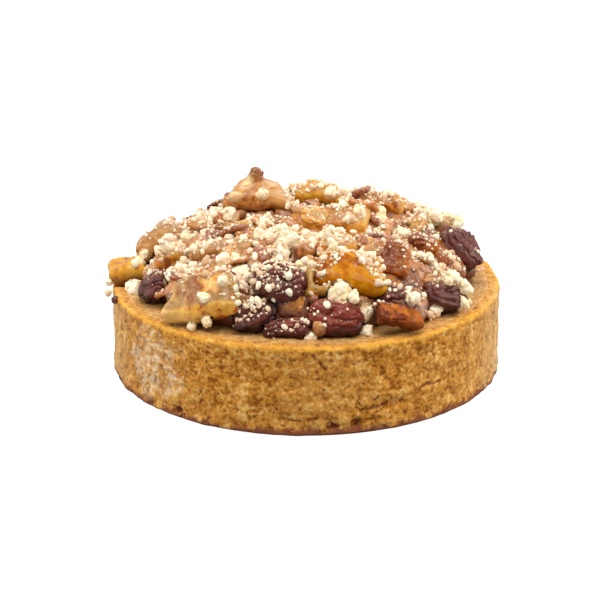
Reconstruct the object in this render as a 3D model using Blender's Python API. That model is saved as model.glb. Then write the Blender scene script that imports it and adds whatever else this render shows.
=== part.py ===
"""A small round apple tart: a straight-sided shortcrust shell filled with almond cream, heaped with stewed
apple pieces and raisins, and strewn with nuggets of crumble.

Run it with blender --background --python part.py, or from Blender's text editor.
The tart stands on z = 0 with its axis on z. The side with the yellow apple wedge looks along -y.
Sizes in the tables and functions are millimetres, and meshes are made in metres.
"""

import math
import random
from dataclasses import dataclass, field

import bmesh
import bpy
from mathutils import Euler, Matrix, Vector, noise
from mathutils.bvhtree import BVHTree

MM = 0.001
FRONT = -90.0
GOLDEN_ANGLE = 180 * (3 - math.sqrt(5))
SHARP_ANGLE = 40.0

# Driving dimensions, in millimetres
CRUST_DIAMETER = 85.0
CRUST_HEIGHT = 19.4
WALL_THICKNESS = 3.2
FLOOR_THICKNESS = 3.0
HEAP_RADIUS = 35.6
HEAP_HEIGHT = 12.2
GAP = 0.3

# What follows from them
CRUST_RADIUS = CRUST_DIAMETER / 2
INNER_RADIUS = CRUST_RADIUS - WALL_THICKNESS
CREAM_RADIUS = INNER_RADIUS - GAP
CREAM_TOP = CRUST_HEIGHT - 0.7
HEAP_BASE = CREAM_TOP + 2 * GAP

# The crust: heights of the rings of its wall, how it is rounded, and its baked relief
CRUST_SEGMENTS = 100
WALL_ROWS = (0.9, 2.1, 3.4, 6.2, 9.8, 14.2)
RIM_ROUNDING = 0.7
RIM_INSIDE = 0.9
FOOT_ROUNDING = 0.7
FLOOR_ROUNDING = 0.6
BASE_BULGE = 0.35
LUMP_DEPTH = 0.3
LUMP_SIZE = 5.5
GRAIN_DEPTH = 0.22
GRAIN_SIZE = 2.4
CALM_RIM = 0.4

# The almond cream: its rounded edges and the unevenness of its baked top
CREAM_SEGMENTS = 72
CREAM_FOOT = 0.7
CREAM_EDGE = 0.5
CREAM_RING = 2.8
CREAM_RELIEF = 0.3
CREAM_RELIEF_SIZE = 4.0

# The heap's core: shares of its radius where its rings lie, its waving edge as (waves round, depth, phase), the
# powers that shape its mound, and its lumps
CORE_SEGMENTS = 40
CORE_RINGS = (1.0, 0.985, 0.93, 0.83, 0.66, 0.45, 0.22)
CORE_INSET = 1.2
EDGE_WAVES = ((3, 0.8, 0.8), (7, 0.5, 0.0))
MOUND_SHOULDER = 2.8
MOUND_FULLNESS = 0.55
CORE_LUMPS = 1.1
CORE_LUMP_SIZE = 8.0
SLOPE_STEP = 0.5
STEEPEST_PLACE = HEAP_RADIUS - 1.5

# A piece of apple: the box that it is cut from, and how far its corners stray and its edges are softened, as
# shares of its size
APPLE_BOX = 1.06
APPLE_STRAY = 0.11
APPLE_SOFTNESS = 0.2

# A raisin: its rings, and its folds, its bend and its dents as shares of its radius
RAISIN_RINGS = 6
RAISIN_SEGMENTS = 10
RAISIN_FOLDS = 5
FOLD_DEPTH = 0.11
RAISIN_BEND = 0.05
RAISIN_DENTS = 0.06
RAISIN_BLUNTNESS = 0.8

# A nugget: the least and most of its stretch each way, of its dents, and how far its middle stands off what it
# lies on, as a share of its width
NUGGET_STRETCH = ((0.9, 1.2), (0.85, 1.1), (0.75, 0.95))
NUGGET_DENTS = (0.9, 1.1)
NUGGET_RISE = 0.2
NUGGET_REACH = 0.6

# How far a place cut for one piece in another stands off, so that its facets keep the gap too, and the smallest
# cosine between a corner and its faces for which the corner still moves in full
CUT_GAP = GAP * 1.15
SHARPEST = 0.45

# Above everything
SKY = 80.0


@dataclass(frozen=True)
class Pit:
    """A hole or crack in the crust's wall: degrees round from the front, and millimetres."""

    turn: float
    height: float
    width: float
    tall: float
    depth: float


PITS = (
    Pit(7, 2.2, 3.6, 2.4, 1.1),
    Pit(14, 2.4, 3.0, 2.4, 1.0),
    Pit(-38, 1.8, 3.4, 2.6, 1.0),
    Pit(24, 6.0, 6.0, 2.4, 0.6),
    Pit(44, 9.4, 4.0, 2.4, 0.6),
    Pit(-24, 13.6, 3.4, 2.4, 0.6),
    Pit(33, 16.0, 3.4, 2.6, 0.6),
    Pit(118, 3.2, 4.0, 2.4, 0.9),
    Pit(-131, 2.6, 3.4, 2.4, 0.9),
    Pit(176, 8.5, 4.5, 2.6, 0.6),
)


@dataclass(frozen=True)
class Piece:
    """One piece of fruit. It lies flat on the heap's slope at its middle (x, y, z), with its length across the
    slope, its width up the slope and its thickness out of the heap. The turn is then in degrees: its front edge
    up, its right end down, and round the way out of the heap. Taper and crest are the thickness and the length
    of its upper edge as shares of the lower one's."""

    name: str
    middle: tuple
    size: tuple
    turn: tuple = (0, 0, 0)
    taper: float = 0.7
    crest: float = 0.85


RAISINS = (
    Piece("raisin_right", (33.5, -4.5, 27.5), (10.0, 11.0, 8.0), (0, 0, 40)),
    Piece("raisin_right_front", (29.0, -21.5, 23.0), (11.6, 6.8, 6.6), (0, 0, 12)),
    Piece("raisin_front", (6.0, -34.0, 23.0), (11.8, 8.2, 6.8), (-14, 0, -8)),
    Piece("raisin_centre", (-5.5, -30.0, 29.0), (11.4, 9.8, 7.4), (0, 0, -24)),
    Piece("raisin_left", (-32.5, -15.0, 22.5), (7.8, 7.8, 5.0), (0, 0, -20)),
    Piece("raisin_front_left", (-10.5, -32.5, 22.5), (10.0, 6.8, 6.0), (-10, 0, 14)),
    Piece("raisin_front_low", (-4.0, -35.0, 21.0), (10.2, 5.0, 4.2), (-20, 0, 0)),
    Piece("raisin_beside_wedge", (19.0, -29.0, 25.0), (8.4, 5.6, 5.2), (0, 0, -10)),
    Piece("raisin_back_right", (20.0, 27.0, 25.0), (11.0, 8.0, 7.0), (0, 0, 30)),
    Piece("raisin_back_left", (-27.0, 19.5, 23.5), (10.4, 7.6, 6.6), (0, 0, 64)),
    Piece("raisin_back", (-5.0, 32.5, 24.5), (11.2, 7.4, 6.6), (0, 0, 8)),
)

APPLES = (
    Piece("apple_front_wedge", (10.0, -26.5, 30.0), (14.0, 9.6, 6.6), (16, 2, -2), 0.5, 0.6),
    Piece("apple_front_left_slab", (-21.0, -29.5, 25.5), (15.6, 8.6, 4.8), (-8, 2, 0), 0.9),
    Piece("apple_peak", (-10.5, 5.0, 37.5), (15.6, 8.6, 8.2), (50, 0, 0), 0.4, 0.3),
    Piece("apple_back_wedge", (3.5, 5.0, 37.5), (10.4, 6.0, 5.4), (40, 6, -4), 0.5, 0.6),
    Piece("apple_back_right", (18.5, 4.0, 35.0), (5.8, 5.0, 5.2), (40, 4, 6), 0.6),
    Piece("apple_right_shoulder", (28.0, 3.0, 31.0), (9.0, 7.0, 4.2), (0, -10, 0), 0.7),
    Piece("apple_beside_raisin", (25.5, -7.5, 29.5), (7.0, 6.5, 4.2), (4, 0, -10), 0.7),
    Piece("apple_front_right_slab", (19.0, -33.5, 23.0), (10.4, 5.2, 4.4), (-18, 2, 0), 0.8),
    Piece("apple_right_strip", (18.5, -19.0, 30.0), (6.1, 8.9, 4.6), (14, 6, -6), 0.7),
    Piece("apple_middle_strip", (6.5, -16.0, 32.0), (9.9, 4.6, 4.2), (8, 2, 2), 0.7),
    Piece("apple_middle_slab", (5.0, -5.0, 34.0), (16.3, 6.3, 4.5), (20, 0, 0), 0.8),
    Piece("apple_wedge_wing", (2.0, -29.0, 28.5), (6.8, 6.8, 4.2), (4, -12, 8), 0.7),
    Piece("apple_left_slice", (-18.0, -13.0, 30.5), (12.8, 4.8, 4.2), (6, 0, 2), 0.7),
    Piece("apple_left_round", (-29.0, -10.5, 27.5), (6.3, 5.4, 4.4), (4, 0, 0), 0.8),
    Piece("apple_left_shoulder", (-33.0, 2.0, 28.0), (10.0, 7.0, 4.6), (0, 4, -6), 0.8),
    Piece("apple_left_edge", (-39.5, -2.0, 22.0), (3.8, 7.2, 8.3), (0, -50, 4), 0.8),
)

# The knob on top of the peak is part of it
PEAK_KNOB = Piece("apple_peak_knob", (-11.0, 5.0, 41.5), (3.4, 3.6, 4.6), (0, 17, 0), 0.9, 0.9)

# Round the back the same fruit lies by rule, from a direction, a distance from the axis and a height over the core
BACK_APPLES = (
    (28.0, 28.0, 1.0),
    (60.0, 23.5, -0.2),
    (84.0, 29.5, 0.8),
    (116.0, 26.0, 0.6),
    (146.0, 22.0, -0.8),
    (168.0, 31.0, -0.6),
)
BACK_SIZE = (12.4, 8.6, 5.0)
BACK_SPREAD = (0.85, 1.15)
BACK_TILT = 12
BACK_TURN = 40
BACK_TAPER = (0.6, 0.85)
BACK_SEED = 11

# Bits of apple too small to be pieces of their own lie where the core is bare, on its top and round its flank,
# where their places are shares of its radius
TOP_BITS = 54
TOP_REACH = HEAP_RADIUS - 2.5
FLANK_BITS = 26
FLANK_SHARES = (0.965, 0.9)
BIT_SIZE = (7.2, 5.0, 3.6)
BIT_SPREAD = (0.8, 1.2)
BIT_TILT = 25
BIT_RISE = 0.2
BIT_ROOM = 0.2
BIT_TAPER = 0.7
BIT_CREST = 0.8
BIT_SEED = 5

# The larger nuggets of crumble: where they lie in plan, and their width
NUGGETS = (
    (-37.0, -8.5, 4.6),
    (-35.5, -1.5, 2.4),
    (-28.5, -12.0, 3.8),
    (-27.0, -16.5, 4.6),
    (-25.5, -14.0, 3.8),
    (-25.5, -3.0, 3.4),
    (-22.5, 5.5, 3.8),
    (-17.0, -31.5, 2.9),
    (-17.0, -17.5, 3.2),
    (-16.5, -0.5, 3.6),
    (-15.5, 0.0, 2.9),
    (-13.5, -25.0, 4.4),
    (-13.0, 3.5, 2.9),
    (-9.5, 0.5, 2.6),
    (-9.0, -12.5, 4.4),
    (-5.5, -22.0, 4.2),
    (-4.5, -12.5, 4.2),
    (-3.0, -20.5, 3.4),
    (-1.0, -11.0, 3.6),
    (-0.5, -27.5, 3.0),
    (1.0, -37.0, 2.5),
    (4.5, -17.0, 3.8),
    (7.0, -32.5, 5.4),
    (8.5, -2.5, 3.2),
    (11.5, -32.5, 3.2),
    (11.5, -6.5, 3.2),
    (12.5, -34.0, 3.0),
    (13.5, 15.0, 3.8),
    (15.5, -2.5, 3.6),
    (20.0, -4.5, 4.2),
    (21.5, -30.0, 3.2),
    (22.0, -10.5, 3.0),
    (26.5, -11.5, 3.5),
    (28.0, 0.5, 3.6),
    (30.0, -20.0, 4.2),
    (31.0, 2.0, 3.0),
    (33.0, -19.5, 3.4),
    (33.5, -21.5, 3.5),
    (34.5, -16.0, 2.4),
)
NUGGET_SEED = 7

# Smaller ones are strewn evenly over the whole tart
STREWN_NUGGETS = 34
STREWN_WIDTHS = (2.0, 3.0)
STREWN_REACH = CREAM_RADIUS - 1.0
STREWN_STRAY = 1.0
STREWN_TURN = 20.0
STREWN_SEED = 23

# The seeds of the fruit's shapes count on from these
RAISIN_SEED = 100
APPLE_SEED = 200
KNOB_SEED = 250
BIT_SHAPE_SEED = 300


@dataclass
class Lump:
    """One closed simple mesh, in millimetres where it lies, and a simpler one that it fits into."""

    points: list
    faces: list
    room: object = None

    def grown(self, by):
        """The lump with every face moved outwards."""
        around = [[] for _ in self.points]
        for face in self.faces:
            a, b, c = (self.points[i] for i in face[:3])
            normal = (b - a).cross(c - a).normalized()
            for i in face:
                around[i].append(normal)
        points = []
        for point, normals in zip(self.points, around):
            out = sum(normals, Vector()).normalized()
            steepest = min(out.dot(normal) for normal in normals)
            points.append(point + out * by / max(SHARPEST, steepest))
        return Lump(points, self.faces)


@dataclass
class Body:
    """A node before it is fused and cut: its name, its material, where its origin is, and its lumps."""

    name: str
    material: str
    place: Matrix
    lumps: list = field(default_factory=list)

    def near(self, lump):
        """Whether the lump comes within the gap of the body's box."""
        points = [p for own in self.lumps for p in own.points]
        return all(
            min(p[i] for p in lump.points) < max(p[i] for p in points) + GAP
            and max(p[i] for p in lump.points) > min(p[i] for p in points) - GAP
            for i in range(3)
        )

    def tree(self):
        """A search tree of its surface."""
        points, faces = [], []
        for lump in self.lumps:
            start = len(points)
            points.extend(lump.points)
            faces.extend(tuple(start + i for i in face) for face in lump.faces)
        return BVHTree.FromPolygons(points, faces)


def clear_scene():
    """Removes everything that is in the scene."""
    for thing in list(bpy.data.objects):
        bpy.data.objects.remove(thing)


def make_material(name, colour, roughness):
    """A plain Principled material with the sub-part's colour and roughness."""
    material = bpy.data.materials.new(name)
    material.use_nodes = True
    shader = material.node_tree.nodes["Principled BSDF"]
    shader.inputs["Base Color"].default_value = (*colour, 1.0)
    shader.inputs["Roughness"].default_value = roughness
    shader.inputs["Metallic"].default_value = 0.0
    material.diffuse_color = (*colour, 1.0)
    return material


def make_materials():
    """The finishes of the five kinds of sub-part."""
    return {
        "crust": make_material("crust", (0.50, 0.27, 0.075), 0.75),
        "almond_cream": make_material("almond_cream", (0.42, 0.24, 0.08), 0.6),
        "compote": make_material("compote", (0.30, 0.13, 0.045), 0.35),
        "apple": make_material("apple", (0.52, 0.26, 0.06), 0.3),
        "raisin": make_material("raisin", (0.075, 0.022, 0.018), 0.4),
    }


def object_from(name, lump):
    """A mesh object in the scene from a lump in millimetres."""
    mesh = bpy.data.meshes.new(name)
    mesh.from_pydata([p * MM for p in lump.points], [], lump.faces)
    mesh.update()
    thing = bpy.data.objects.new(name, mesh)
    bpy.context.scene.collection.objects.link(thing)
    return thing


def combine(thing, operation, lumps):
    """Joins the lumps to the object, or cuts them from it."""
    group = bpy.data.collections.new(operation.lower())
    bpy.context.scene.collection.children.link(group)
    for lump in lumps:
        operand = object_from("operand", lump)
        bpy.context.scene.collection.objects.unlink(operand)
        group.objects.link(operand)
    modifier = thing.modifiers.new(operation.title(), "BOOLEAN")
    modifier.operand_type = "COLLECTION"
    modifier.collection = group
    modifier.operation = operation
    modifier.solver = "EXACT"
    graph = bpy.context.evaluated_depsgraph_get()
    mesh = bpy.data.meshes.new_from_object(thing.evaluated_get(graph))
    thing.modifiers.clear()
    thing.data = mesh
    for operand in list(group.objects):
        bpy.data.objects.remove(operand)
    bpy.data.collections.remove(group)


def keep_largest_island(mesh):
    """Drops the loose scraps that a cut can leave."""
    shape = bmesh.new()
    shape.from_mesh(mesh)
    unseen = set(shape.verts)
    islands = []
    while unseen:
        island = set()
        search = [unseen.pop()]
        while search:
            vertex = search.pop()
            island.add(vertex)
            near = {edge.other_vert(vertex) for edge in vertex.link_edges} & unseen
            unseen -= near
            search.extend(near)
        islands.append(island)
    islands.sort(key=len)
    scraps = [vertex for island in islands[:-1] for vertex in island]
    bmesh.ops.delete(shape, geom=scraps, context="VERTS")
    shape.to_mesh(mesh)
    shape.free()


def smooth_shade(mesh):
    """Shades a rounded shape smooth and leaves its real edges sharp."""
    mesh.shade_smooth()
    mesh.set_sharp_from_angle(angle=math.radians(SHARP_ANGLE))


def polar(radius, degrees, z=0.0):
    """The point at that radius and direction, measured from +x."""
    angle = math.radians(degrees)
    return Vector((radius * math.cos(angle), radius * math.sin(angle), z))


def ringed_lump(points, rings, segments, low=None, high=None):
    """A closed lump through rings of points. Its ends are fans to a middle point below and above them, or flat
    if it has none."""
    faces = []
    for ring in range(rings - 1):
        for step in range(segments):
            after = (step + 1) % segments
            a, b = ring * segments + step, ring * segments + after
            faces.append((a, b, b + segments, a + segments))
    bottom, top = len(points), len(points) + 1
    last = (rings - 1) * segments
    if low is None:
        faces.append(tuple(reversed(range(segments))))
        faces.append(tuple(last + step for step in range(segments)))
        return Lump(points, faces)
    for step in range(segments):
        after = (step + 1) % segments
        faces.append((bottom, after, step))
        faces.append((top, last + step, last + after))
    return Lump([*points, low, high], faces)


def lathe(profile, segments, shift):
    """A closed turned solid. The profile runs from a point on the axis below to one above, and shift moves a
    point of its rings."""
    rings = profile[1:-1]
    points = [
        shift(polar(radius, 360.0 * step / segments, z)) for radius, z in rings for step in range(segments)
    ]
    low, high = Vector((0, 0, profile[0][1])), Vector((0, 0, profile[-1][1]))
    return ringed_lump(points, len(rings), segments, low, high)


def pit_depth(degrees, z):
    """How deep the wall's holes and cracks are at this place."""
    depth = 0.0
    for pit in PITS:
        across = (degrees - FRONT - pit.turn + 180.0) % 360.0 - 180.0
        across = math.radians(across) * CRUST_RADIUS / (pit.width / 2)
        up = (z - pit.height) / (pit.tall / 2)
        depth = max(depth, pit.depth * math.exp(-(across**2 + up**2)))
    return depth


def crust_relief(point):
    """Moves a point of the baked outside for its lumps, crumbly grain and pits."""
    if math.hypot(point.x, point.y) < INNER_RADIUS + RIM_INSIDE / 2 or point.z <= 0:
        return point
    degrees = math.degrees(math.atan2(point.y, point.x))
    rough = LUMP_DEPTH * noise.noise(point / LUMP_SIZE) + GRAIN_DEPTH * noise.noise(point / GRAIN_SIZE)
    out = Vector((point.x, point.y, 0)).normalized()
    on_rim = min(1.0, max(0.0, (point.z - CRUST_HEIGHT + RIM_ROUNDING) / RIM_ROUNDING))
    sideways = rough * (1 - on_rim * (1 - CALM_RIM)) - pit_depth(degrees, point.z) * (1 - on_rim)
    return point + out * sideways + Vector((0, 0, rough * on_rim))


def crust_profile():
    """The shell's outline from the middle of its base, up the wall, over the rim and down to its floor."""
    shoulder = CRUST_HEIGHT - RIM_ROUNDING
    wall = []
    for height in (*WALL_ROWS, shoulder):
        share = (height - WALL_ROWS[0]) / (shoulder - WALL_ROWS[0])
        wall.append((CRUST_RADIUS + BASE_BULGE * (1 - share) ** 2, height))
    rim = [(CRUST_RADIUS - RIM_ROUNDING, CRUST_HEIGHT), (INNER_RADIUS + RIM_INSIDE, CRUST_HEIGHT)]
    inside = [
        (INNER_RADIUS, CRUST_HEIGHT - RIM_ROUNDING / 2),
        (INNER_RADIUS, FLOOR_THICKNESS + FLOOR_ROUNDING),
        (INNER_RADIUS - FLOOR_ROUNDING, FLOOR_THICKNESS),
    ]
    return [(0, 0), (CRUST_RADIUS - FOOT_ROUNDING, 0), *wall, *rim, *inside, (0, FLOOR_THICKNESS)]


def crust_body():
    """The shortcrust shell: a cup with a craggy wall and a rounded rim."""
    shell = lathe(crust_profile(), CRUST_SEGMENTS, crust_relief)
    return Body("crust_shell", "crust", Matrix.Identity(4), [shell])


def cream_relief(point):
    """Moves a point of the almond cream's top for its baked unevenness."""
    if point.z < CREAM_TOP:
        return point
    return point + Vector((0, 0, CREAM_RELIEF * noise.noise(point / CREAM_RELIEF_SIZE)))


def cream_body():
    """The almond cream that fills the shell to just under its rim."""
    low = FLOOR_THICKNESS + GAP
    profile = [
        (0, low),
        (CREAM_RADIUS - CREAM_FOOT, low),
        (CREAM_RADIUS, low + CREAM_FOOT),
        (CREAM_RADIUS, CREAM_TOP - CREAM_EDGE),
        (CREAM_RADIUS - CREAM_EDGE, CREAM_TOP),
        (CREAM_RADIUS - CREAM_RING, CREAM_TOP),
        (0, CREAM_TOP),
    ]
    filling = lathe(profile, CREAM_SEGMENTS, cream_relief)
    return Body("almond_cream", "almond_cream", Matrix.Identity(4), [filling])


def heap_edge(degrees):
    """The core's radius in that direction, in and out by a millimetre or so."""
    angle = math.radians(degrees)
    waves = sum(depth * math.sin(count * angle + phase) for count, depth, phase in EDGE_WAVES)
    return HEAP_RADIUS - CORE_INSET + waves


def mound(x, y, radius=HEAP_RADIUS):
    """The height of the heap over the cream as a smooth mound with a steep foot."""
    share = min(1.0, math.hypot(x, y) / radius)
    return HEAP_HEIGHT * (1 - share**MOUND_SHOULDER) ** MOUND_FULLNESS


def heap_top(x, y):
    """The height of the heap's core at a place in plan."""
    radius = heap_edge(math.degrees(math.atan2(y, x)))
    share = min(1.0, math.hypot(x, y) / radius)
    lumps = CORE_LUMPS * noise.noise(Vector((x, y, 0)) / CORE_LUMP_SIZE) * (1 - share**6)
    return HEAP_BASE + mound(x, y, radius) + lumps


def heap_frame(x, y):
    """Axes on the heap's slope at a place in plan: across the slope, up the slope, and out of it."""
    scale = min(1.0, STEEPEST_PLACE / math.hypot(x, y))
    x, y = x * scale, y * scale
    slope_x = (mound(x + SLOPE_STEP, y) - mound(x - SLOPE_STEP, y)) / (2 * SLOPE_STEP)
    slope_y = (mound(x, y + SLOPE_STEP) - mound(x, y - SLOPE_STEP)) / (2 * SLOPE_STEP)
    out = Vector((-slope_x, -slope_y, 1)).normalized()
    across = (Vector((1, 0, 0)) - out * out.x).normalized()
    up = out.cross(across)
    return Matrix((across, up, out)).transposed()


def core_lump():
    """The stewed apple under the pieces, as a mound with a steep foot that runs down into the cream's room."""
    foot = HEAP_BASE - GAP
    points = []
    for share in CORE_RINGS:
        for step in range(CORE_SEGMENTS):
            degrees = 360.0 * step / CORE_SEGMENTS
            flat = polar(heap_edge(degrees) * share, degrees)
            height = foot if share == CORE_RINGS[0] else heap_top(flat.x, flat.y)
            points.append(Vector((flat.x, flat.y, height)))
    low, high = Vector((0, 0, foot)), Vector((0, 0, heap_top(0, 0)))
    return ringed_lump(points, len(CORE_RINGS), CORE_SEGMENTS, low, high)


def lump_from(shape, place):
    """The lump that a bmesh makes when it is moved to its place."""
    return Lump([place @ v.co for v in shape.verts], [tuple(v.index for v in f.verts) for f in shape.faces])


def hull_lump(shape, place):
    """The lump round the outermost corners of a bmesh, moved to its place."""
    hull = bmesh.new()
    for vertex in shape.verts:
        hull.verts.new(vertex.co)
    bmesh.ops.convex_hull(hull, input=hull.verts)
    hull.verts.index_update()
    lump = lump_from(hull, place)
    hull.free()
    return lump


def place_of(piece):
    """Where the piece lies, as a matrix."""
    x, y, _ = piece.middle
    tip, roll, yaw = (math.radians(a) for a in piece.turn)
    turn = heap_frame(x, y) @ Matrix.Rotation(yaw, 3, "Z") @ Matrix.Rotation(roll, 3, "Y")
    turn = turn @ Matrix.Rotation(tip, 3, "X")
    return Matrix.Translation(piece.middle) @ turn.to_4x4()


def apple_lump(piece, seed):
    """A piece cut from a stewed apple slice: a box with uneven corners and softened edges, thinner and shorter
    along its upper edge. Its room is the box before the edges are softened."""
    draw = random.Random(seed)
    place = place_of(piece)
    shape = bmesh.new()
    bmesh.ops.create_cube(shape, size=APPLE_BOX)
    for vertex in shape.verts:
        height = vertex.co.y / APPLE_BOX + 0.5
        vertex.co.z *= 1 - (1 - piece.taper) * height
        vertex.co.x *= 1 - (1 - piece.crest) * height
        vertex.co += Vector([draw.uniform(-APPLE_STRAY, APPLE_STRAY) for _ in range(3)])
        vertex.co = Vector([c * s for c, s in zip(vertex.co, piece.size)])
    room = hull_lump(shape, place)
    softness = APPLE_SOFTNESS * min(piece.size)
    bmesh.ops.bevel(shape, geom=shape.edges, offset=softness, segments=1, affect="EDGES", profile=0.5)
    bmesh.ops.triangulate(shape, faces=shape.faces)
    shape.verts.index_update()
    lump = lump_from(shape, place)
    lump.room = room
    shape.free()
    return lump


def raisin_lump(piece, seed):
    """A plumped raisin: an egg with folds along it and uneven dents."""
    draw = random.Random(seed)
    place = place_of(piece)
    phase = draw.uniform(0, math.tau)
    points = []
    for ring in range(1, RAISIN_RINGS + 1):
        along = math.pi * ring / (RAISIN_RINGS + 1)
        for step in range(RAISIN_SEGMENTS):
            angle = math.tau * step / RAISIN_SEGMENTS
            fold = 1 + FOLD_DEPTH * math.cos(RAISIN_FOLDS * angle) * math.sin(along)
            fold += RAISIN_BEND * math.cos(angle + phase) + draw.uniform(-RAISIN_DENTS, RAISIN_DENTS)
            radius = 0.5 * math.sin(along) ** RAISIN_BLUNTNESS * fold
            local = (-0.5 * math.cos(along), radius * math.cos(angle), radius * math.sin(angle))
            points.append(place @ Vector([c * s for c, s in zip(local, piece.size)]))
    end = Vector((piece.size[0] / 2, 0, 0))
    return ringed_lump(points, RAISIN_RINGS, RAISIN_SEGMENTS, place @ -end, place @ end)


def nugget_lump(centre, width, draw):
    """A small rough ball of crumble."""
    shape = bmesh.new()
    bmesh.ops.create_icosphere(shape, subdivisions=1, radius=width / 2)
    stretch = [draw.uniform(*limits) for limits in NUGGET_STRETCH]
    for vertex in shape.verts:
        vertex.co = Vector([c * s * draw.uniform(*NUGGET_DENTS) for c, s in zip(vertex.co, stretch)])
    turn = Euler([draw.uniform(0, math.tau) for _ in range(3)]).to_matrix().to_4x4()
    lump = lump_from(shape, Matrix.Translation(centre) @ turn)
    shape.free()
    return lump


def back_pieces():
    """The apple pieces round the back, where the front's way of lying goes on."""
    draw = random.Random(BACK_SEED)
    pieces = []
    for number, (degrees, radius, lift) in enumerate(BACK_APPLES, 1):
        spot = polar(radius, degrees)
        spot.z = heap_top(spot.x, spot.y) + lift
        size = tuple(s * draw.uniform(*BACK_SPREAD) for s in BACK_SIZE)
        tilts = [draw.uniform(-BACK_TILT, BACK_TILT) for _ in range(2)]
        turn = (*tilts, draw.uniform(-BACK_TURN, BACK_TURN))
        pieces.append(Piece(f"apple_back_{number}", tuple(spot), size, turn, draw.uniform(*BACK_TAPER)))
    return pieces


def fruit_bodies():
    """One body for each raisin and each large piece of apple, in the order in which they keep their shape."""
    bodies = []
    for seed, piece in enumerate(RAISINS, RAISIN_SEED):
        bodies.append(Body(piece.name, "raisin", place_of(piece), [raisin_lump(piece, seed)]))
    for seed, piece in enumerate([*APPLES, *back_pieces()], APPLE_SEED):
        bodies.append(Body(piece.name, "apple", place_of(piece), [apple_lump(piece, seed)]))
        if piece.name == "apple_peak":
            bodies[-1].lumps.append(apple_lump(PEAK_KNOB, KNOB_SEED))
    return bodies


def bit_spots():
    """The places for small bits of apple: spread evenly over the core's top, and in turn high and low round its
    flank."""
    spots = []
    for step in range(TOP_BITS):
        spots.append(polar(TOP_REACH * math.sqrt((step + 0.5) / TOP_BITS), step * GOLDEN_ANGLE))
    for step in range(FLANK_BITS):
        degrees = 360.0 * step / FLANK_BITS
        share = FLANK_SHARES[step % len(FLANK_SHARES)]
        spots.append(polar(heap_edge(degrees) * share, degrees))
    for spot in spots:
        spot.z = heap_top(spot.x, spot.y)
    return spots


def heap_body(fruit):
    """The core, with small bits of apple where no large piece covers it."""
    body = Body("apple_heap", "compote", Matrix.Translation((0, 0, HEAP_BASE)), [core_lump()])
    trees = [other.tree() for other in fruit]
    draw = random.Random(BIT_SEED)
    for seed, spot in enumerate(bit_spots(), BIT_SHAPE_SEED):
        size = [s * draw.uniform(*BIT_SPREAD) for s in BIT_SIZE]
        turn = [draw.uniform(-BIT_TILT, BIT_TILT) for _ in range(2)] + [draw.uniform(-90, 90)]
        if min(tree.find_nearest(spot)[3] for tree in trees) > BIT_ROOM * size[0]:
            spot.z += BIT_RISE
            bit = Piece("bit", tuple(spot), size, turn, BIT_TAPER, BIT_CREST)
            body.lumps.append(apple_lump(bit, seed).room)
    return body


def drop(x, y, width, trees):
    """Where a nugget comes to lie that falls on the bodies with these search trees: its middle, and the number
    of the body that it lands on."""
    hits = [tree.ray_cast(Vector((x, y, SKY)), Vector((0, 0, -1))) for tree in trees]
    _, landed = max((hit[0].z, number) for number, hit in enumerate(hits) if hit[0] is not None)
    return hits[landed][0] + hits[landed][1] * width * NUGGET_RISE, landed


def press_on_nuggets(bodies):
    """Fuses each large nugget of crumble to what it lies on."""
    trees = [body.tree() for body in bodies]
    draw = random.Random(NUGGET_SEED)
    for x, y, width in NUGGETS:
        centre, landed = drop(x, y, width, trees)
        bodies[landed].lumps.append(nugget_lump(centre, width, draw))


def strew_nuggets(bodies):
    """Fuses smaller nuggets to what they lie on, where that leaves them clear of everything else."""
    trees = [body.tree() for body in bodies]
    for step in range(STREWN_NUGGETS):
        draw = random.Random(STREWN_SEED + step)
        radius = STREWN_REACH * math.sqrt((step + 0.5) / STREWN_NUGGETS)
        radius += draw.uniform(-STREWN_STRAY, STREWN_STRAY)
        width = draw.uniform(*STREWN_WIDTHS)
        spot = polar(radius, step * GOLDEN_ANGLE + STREWN_TURN)
        centre, landed = drop(spot.x, spot.y, width, trees)
        others = [tree for number, tree in enumerate(trees) if number != landed]
        if min(tree.find_nearest(centre)[3] for tree in others) > width * NUGGET_REACH + GAP:
            bodies[landed].lumps.append(nugget_lump(centre, width, draw))


def tart_clearance():
    """The room that the shell and the cream take with the gap round them, which the fruit keeps out of."""
    rim = CRUST_HEIGHT + 2 * GAP
    outer = CRUST_RADIUS + 3 * GAP
    inner = INNER_RADIUS - 2 * GAP
    profile = [(outer, FLOOR_THICKNESS), (outer, rim), (inner, rim), (inner - GAP, HEAP_BASE)]
    points = [
        polar(radius, 360.0 * step / CRUST_SEGMENTS, z) for radius, z in profile for step in range(CRUST_SEGMENTS)
    ]
    return ringed_lump(points, len(profile), CRUST_SEGMENTS)


def make_part(body, cuts, material):
    """Makes the body's object: its lumps joined, and then the cuts taken out of it."""
    thing = object_from(body.name, body.lumps[0])
    if len(body.lumps) > 1:
        combine(thing, "UNION", body.lumps[1:])
    near = [lump for lump in cuts if body.near(lump)]
    if near:
        combine(thing, "DIFFERENCE", near)
    keep_largest_island(thing.data)
    thing.data.name = body.name
    place = Matrix.Translation(body.place.translation * MM) @ body.place.to_3x3().to_4x4()
    thing.data.transform(place.inverted())
    thing.location = place.to_translation()
    thing.rotation_euler = place.to_euler()
    smooth_shade(thing.data)
    thing.data.materials.append(material)


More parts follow.
